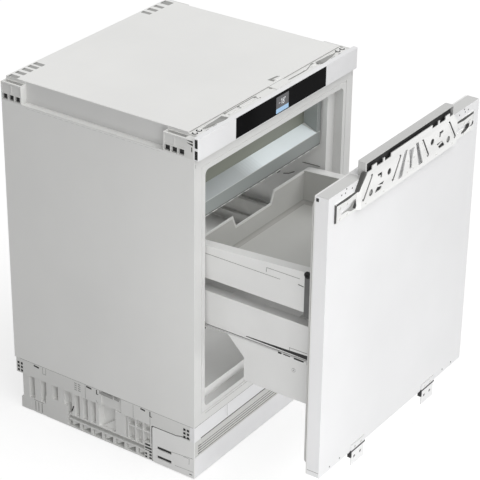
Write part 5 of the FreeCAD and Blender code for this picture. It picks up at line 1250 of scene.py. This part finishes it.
@dataclass
class Door(Part):
    """Insulated front, gasket, fixing rail, cover box and lower clips."""

    finishes: dict[str, Finish] = field(default_factory=lambda: {
        "door_panel": DOOR_WHITE, "door_lining": WHITE_LINER, "door_foam": INSULATION,
        "door_seal": SEAL_RUBBER, "fixing_rail": ZINC_SHEET, "mount_box": BOX_PLASTIC,
        "bottom_clips": CLIP_WHITE})
    body: Body = Body.DRAWER
    skin: Face = Face(Facing.FRONT, 407.65)
    pad: Face = Face(Facing.FRONT, 409.65)
    rail: Face = Face(Facing.FRONT, 415.85)
    rail_depth: Face = Face(Facing.FRONT, 413.05)
    box_depth: Face = Face(Facing.FRONT, 407.85)
    depth: float = 0.4
    rail_foot: float = 715.0
    top: Face = Face(Facing.TOP, 778.0)
    half: float = 297.3
    gasket_half: float = 279.5
    gasket_low: float = 151.5
    gasket_high: float = 753.1
    clip: float = 147.0
    clip_top: Face = Face(Facing.TOP, 148.0)
    clip_hole: float = 12.0

    def build(self) -> None:
        """The gasket, the rail's fillings and fasteners, painted shade in the box and the lower clips'
        bodies.
        """
        self.build_gasket()
        self.build_rail()
        self.build_fasteners()
        self.build_clips()

    def build_gasket(self) -> None:
        """Bellows gasket: its section carried round a rectangle with tight round corners.

        The section's first number runs outward from the rectangle and its second away from the door:
        a flange, a fold on each side and a flat magnet pocket.
        """
        folds = [(6.4, 0.0), (7.2, 0.7), (6.9, 1.7), (5.2, 2.2), (3.4, 2.9), (4.6, 4.2), (6.6, 5.2),
                 (7.0, 6.2), (5.6, 7.2), (4.6, 7.9), (6.4, 8.6), (7.4, 9.6), (7.3, 11.1), (6.4, 11.9)]
        section = np.array(folds + Side.LEFT.carried(folds[::-1]))
        low, high = self.gasket_low, self.gasket_high
        gasket = Face(Facing.BACK, DOOR_BACK).framed(
            section, 2 * self.gasket_half, high - low, 10.0, 9, (low + high) / 2)
        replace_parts(self.piece("door_gasket", SEAL_RUBBER, [gasket], smooth=50), "door_seal")

    def build_rail(self) -> None:
        """Painted shade and blades in the rail's cut-outs, painted shadow along edges, the door's top plates
        of painted shade, and end lines.
        """
        for side in Side:
            self.fill_slots(side)
            self.fill_ports(side)
            corner = side.carried(((264.6, 715), (274, 715), (274, 752.4)))
            self.stock[ZINC_SHEET].append(self.skin.slab(corner, 2.0))
            edge = side.carried(((197, 758.4), (272, 757.8), (272, 753), (230, 751.4), (197, 754)))
            self.stock[EDGE_DARK].append(self.pad.slab(edge, 0.3))
            self.stock[DOOR_TOP_SHADE].append(self.top.patch(side.value * 236, -393.2, 121, 27.4, 0.3, 0.05))
            seam = ((-406.8, 145), (-379.4, 145))
            self.stock[SEAM_AND_SHADOW_GREY].append(side.face(self.half).strip(seam, 1.0, RELIEF))
        self.mark_pads()
        # A dark plate inside the mount box: painted shade.
        self.stock[DEEP_SLOT].append(self.box_depth.patch(0, 792.5, 338, 28, 0.5, 0.05))
        self.pieces({"rail_depths": DEEP_SLOT, "rail_blades": ZINC_SHEET, "rail_plugs": RECESS_GREY,
                     "rail_shadow_edges": EDGE_DARK, "door_top_plates": DOOR_TOP_SHADE,
                     "door_end_lines": SEAM_AND_SHADOW_GREY})

    def fill_slots(self, side: Side) -> None:
        """Painted dark shade behind each slanted slot of the rail, and a louvre blade in it.

        Args:
            side: which side it is.
        """
        behind, thick = self.rail_depth, self.depth
        for slot in (((154, 60), (182, 19)), ((45, 60), (70, 19))):
            head, tail = np.array(side.carried(slot, self.rail_foot))
            self.stock[DEEP_SLOT].append(behind.slab(bar(head, tail, 6, 6, 6.5), thick))
            self.stock[ZINC_SHEET].append(behind.raised(thick).slab(bar(head, tail, 2.7, 0.7), 1.6))

    def fill_ports(self, side: Side) -> None:
        """Painted dark shade behind the rail's ports and windows, a plug in one port and a tongue in one
        window.

        Args:
            side: which side it is.
        """
        behind, thick = self.rail_depth, self.depth
        middles = ((85.7, 42.5), (153.7, 23), (122, 48), (121.5, 23))
        inner, outer, high, low = side.carried(middles, self.rail_foot)
        self.stock[DEEP_SLOT] += [behind.disc(*port, 9, thick) for port in (inner, outer)]
        self.stock[DEEP_SLOT] += [behind.patch(*high, 20, 16, thick), behind.patch(*low, 38, 18, thick)]
        self.stock[RECESS_GREY].append(behind.raised(thick).disc(*outer, 4.6, 1.2))
        tongue = side.carried(((132, 25), (108, 20.5), (108, 23.5), (126, 28.5)), self.rail_foot)
        self.stock[ZINC_SHEET].append(behind.raised(thick).slab(tongue, 1.4))

    def mark_pads(self) -> None:
        """Painted shade in the windows of the rail's two pads, and painted shadow along the left edges of
        rail and left pad.
        """
        pad, over = self.pad, self.pad.raised(RELIEF)
        left_window = ((-253, 728.4), (-244.6, 731), (-231.7, 731.4), (-218.8, 733), (-210.9, 737.4),
                       (-202.3, 743), (-198, 726.5), (-201, 720.4), (-218, 721.6), (-231.5, 727.6))
        left_depth = ((-208.8, 731.6), (-202.5, 742.4), (-198.4, 726.5), (-201, 721), (-212, 725.6))
        right_window = ((221.5, 722.6), (222.2, 727), (238, 732), (246, 739.5), (254.5, 736), (255.5, 728.5),
                        (240, 723))
        right_depth = ((246, 739), (254.2, 735.6), (255, 729), (246, 727), (241, 732))
        right_hook = ((257, 727.6), (266, 729.6), (270, 737.4), (273.4, 735), (272.6, 728.6), (266.8, 726.4))
        rail_end = ((-203, 758), (-181, 790), (-174, 790), (-197, 758))
        pad_end = ((-275.4, 757.6), (-275.4, 717), (-270.4, 717), (-270.4, 753))
        # Grey and dark plates in the pads' windows: painted shade.
        self.stock[RECESS_GREY].append(pad.slab(left_window))
        self.stock[DEEP_SLOT] += [over.slab(left_depth), over.slab(right_depth), pad.slab(right_hook)]
        self.stock[EDGE_DARK].append(pad.slab(right_window))
        self.stock[EDGE_DARK] += [self.skin.slab(rail_end, 7.9), self.skin.slab(pad_end, 2.3)]

    def build_fasteners(self) -> None:
        """Screws of the rail, and discs of painted shade for holes in the door above its pads and beside the
        lower clips.
        """
        pads = both(((257.5, 744), (258, 720.7), (231.4, 744), (231.5, 720.5)))
        rails = both(((12, 752), (12, 727), (105, 722), (172, 722)))
        heads = [self.pad.screw(2.4, *place) for place in pads]
        heads += [self.rail.screw(1.9, *place) for place in rails]
        self.piece("rail_screws", SCREW_STEEL, heads)
        holes = both(((250.6, 768.8), (237.1, 768), (233.1, 775.6), (212.3, 769.1),
                      (216.5, 140), (255.5, 140)))
        self.piece("door_hole_plugs", DEEP_SLOT, [self.skin.disc(*hole, 1.7) for hole in holes])

    def build_clips(self) -> None:
        """Flanges of the lower clips with painted shade on their tops, black bodies, a strip of painted
        shadow under each flange, screws, and the tabs on the door's upper corners.
        """
        skin, flange, wide = self.skin, self.skin.raised(2), 52.4
        black = self.stock[BLACK_PLASTIC]
        for side in Side:
            middle = side.value * self.clip
            self.stock[DOOR_WHITE].append(flange.patch(middle, 140.8, wide, 14.8, corner=0.02))
            # A grey plate on the flange's top: painted shade.
            self.stock[DOOR_TOP_SHADE].append(self.clip_top.patch(middle, -skin.level - 1, wide, 2.4, corner=0.05))
            black.append(skin.raised(-6).patch(middle - 25.5, 124.5, 4.6, 16, 8))
            # A black strip just under the flange: painted shadow of the gap between clip and door.
            black.append(skin.raised(0.1).patch(middle, 131.5, 58, 3.4, 2.6))
            holes = (middle - self.clip_hole, middle + self.clip_hole)
            self.stock[SCREW_STEEL] += [flange.screw(3.0, hole, 139) for hole in holes]
            black += [skin.raised(-0.2).disc(hole, 114, 4.6, 0.6) for hole in holes]
            black.append(side.face(self.half).patch(-382.6, 770.4, 6, 7.4, 0.7))
        self.pieces({"clip_flange_plates": DOOR_WHITE, "clip_flange_edges": DOOR_TOP_SHADE,
                     "clip_bodies": BLACK_PLASTIC, "clip_screws": SCREW_STEEL})


@dataclass(frozen=True)
class Panel:
    """An oblong area lamp.

    Args:
        name: the lamp's name.
        power: its power in watts.
        size: its width and height in metres.
        place: where it stands, in metres.
        aim: the place that it looks at.
        spread: opening angle of its light in degrees.
        body: the body that carries it, if it isn't fixed.
    """

    name: str
    power: float
    size: tuple[float, float]
    place: tuple[float, float, float]
    aim: tuple[float, float, float]
    spread: float = 180.0
    body: Body | None = None

    def build(self, scene: bpy.types.Scene) -> None:
        """Add the lamp.

        Args:
            scene: the scene that takes it.
        """
        light = bpy.data.lights.new(self.name, "AREA")
        light.energy = self.power
        light.shape = "RECTANGLE"
        light.size, light.size_y = self.size
        light.spread = math.radians(self.spread)
        lamp = bpy.data.objects.new(self.name, light)
        place = Vector(self.place)
        lamp.location = place
        lamp.rotation_euler = (Vector(self.aim) - place).to_track_quat("-Z", "Y").to_euler()
        scene.collection.objects.link(lamp)
        if self.body:
            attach(lamp, self.body.value)


PANELS = (
    Panel("side_panel", 5.5, (0.9, 0.9), (-1.3, -1.1, 0.6), (-0.25, -0.2, 0.45)),
    Panel("low_panel", 2.4, (0.4, 0.4), (-1.3, -0.9, 0.15), (-0.1, -0.09, 0.1)),
    Panel("floor_panel", 0.35, (0.5, 0.1), (0.02, -0.36, 0.075), (0.02, -0.09, 0.075), body=Body.DRAWER),
    Panel("room_lamp", 0.2, (0.3, 0.3), (0.0, 0.2, 0.40), (0.0, 0.2, 0.0), 120.0),
    Panel("tub_lamp", 0.065, (0.25, 0.25), (0.0, -0.2, 0.452), (0.0, -0.2, 0.0), body=Body.DRAWER),
    Panel("shelf_lamp", 0.035, (0.2, 0.02), (0.11, -0.037, 0.742), (0.11, -0.037, 0.0)),
)


@dataclass(frozen=True)
class Studio:
    """Floor, light and camera.

    Args:
        lens: focal length on a 36 mm frame.
        far_clip: how far the camera sees, in metres.
        place: camera's place in metres.
        right: camera's right-hand direction.
        above: camera's upward direction.
        ahead: camera's line of sight.
        ambient: strength of the light from all round.
        sun: strength of the sun.
        sun_angle: the sun's width in degrees.
        sun_aim: direction of its light.
        floor_tone: the floor's colour as seen on screen.
        floor_glow: how much the floor is lifted towards white where it is seen directly.
        floor_reach: half the floor's width in metres.
    """

    lens: float = 142.16
    far_clip: float = 60.0
    place: tuple[float, float, float] = (-3.0430, -2.1001, 2.4057)
    right: tuple[float, float, float] = (0.57340, -0.81920, 0.01156)
    above: tuple[float, float, float] = (0.37948, 0.27807, 0.88242)
    ahead: tuple[float, float, float] = (0.72609, 0.50159, -0.47031)
    ambient: float = 0.38
    sun: float = 2.0
    sun_angle: float = 70.0
    sun_aim: tuple[float, float, float] = (-0.12, 0.62, -0.77)
    floor_tone: tuple[float, float, float] = (0.63, 0.63, 0.63)
    floor_glow: float = 0.72
    floor_reach: float = 20.0

    def build(self) -> None:
        """Set the stage and the camera."""
        scene = bpy.context.scene
        scene.view_settings.view_transform = "Standard"
        self.build_world(scene)
        self.build_floor(scene)
        self.build_lamps(scene)
        camera = bpy.data.cameras.new("camera")
        camera.lens = self.lens
        camera.clip_end = self.far_clip
        seen = bpy.data.objects.new("camera", camera)
        rows = np.array([self.right, self.above, [-c for c in self.ahead]]).T
        seen.matrix_world = Matrix.Translation(self.place) @ Matrix(rows.tolist()).to_4x4()
        scene.collection.objects.link(seen)
        scene.camera = seen

    def build_world(self, scene: bpy.types.Scene) -> None:
        """Even light all round, seen as white by the eye, in gloss and through glass.

        Args:
            scene: the scene that it lights.
        """
        world = bpy.data.worlds.new("studio")
        scene.world = world
        graph = Graph(world)
        nodes, white = world.node_tree.nodes, (1, 1, 1, 1)
        even = graph.feed(nodes["Background"], {"Color": white, "Strength": self.ambient})
        plain_white = graph.add("Background", "Background", {"Color": white, "Strength": 1.0})
        mix = graph.add("MixShader", "Shader", {
            "Fac": graph.seen_directly(), 1: even.outputs["Background"], 2: plain_white})
        graph.feed(nodes["World Output"], {"Surface": mix})

    def build_floor(self, scene: bpy.types.Scene) -> None:
        """A pale floor that keeps the shadow and is white where light falls.

        Args:
            scene: the scene that takes it.
        """
        made = bpy.data.materials.new("floor")
        graph = Graph(made)
        nodes = made.node_tree.nodes
        inputs = {"Base Color": linear(self.floor_tone), "Roughness": 1.0, "Specular IOR Level": 0.0}
        matt = graph.feed(nodes["Principled BSDF"], inputs).outputs["BSDF"]
        glow = graph.add("Emission", "Emission", {"Strength": self.floor_glow})
        lifted = graph.add("AddShader", "Shader", {0: matt, 1: glow})
        mix = graph.add("MixShader", "Shader", {"Fac": graph.seen_directly(), 1: matt, 2: lifted})
        graph.feed(nodes["Material Output"], {"Surface": mix})
        reach = self.floor_reach
        mesh = bpy.data.meshes.new("floor")
        corners = [(across, deep, 0) for across, deep in oblong(-reach, -reach, reach, reach)]
        mesh.from_pydata(corners, [], [[0, 1, 2, 3]])
        mesh.materials.append(made)
        floor = bpy.data.objects.new("floor", mesh)
        scene.collection.objects.link(floor)

    def build_lamps(self, scene: bpy.types.Scene) -> None:
        """A broad sun over the front, and the panels at the left, near the floor and in the rooms.

        Args:
            scene: the scene that takes them.
        """
        sun = bpy.data.lights.new("sun", "SUN")
        sun.energy = self.sun
        sun.angle = math.radians(self.sun_angle)
        lamp = bpy.data.objects.new("sun", sun)
        lamp.rotation_euler = Vector(self.sun_aim).to_track_quat("-Z", "Y").to_euler()
        scene.collection.objects.link(lamp)
        for panel in PANELS:
            panel.build(scene)


def main() -> None:
    """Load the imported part, then dress and complete each sub-assembly."""
    logging.basicConfig(level=logging.INFO, format="%(name)s %(message)s")
    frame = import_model()
    for kind in (Cabinet, ControlPanel, Base, Machine, Cold, Drawers, Door):
        part = kind(frame["nodes"])
        part.dress()
        part.build()
    Studio().build()


if __name__ == "__main__":
    main()
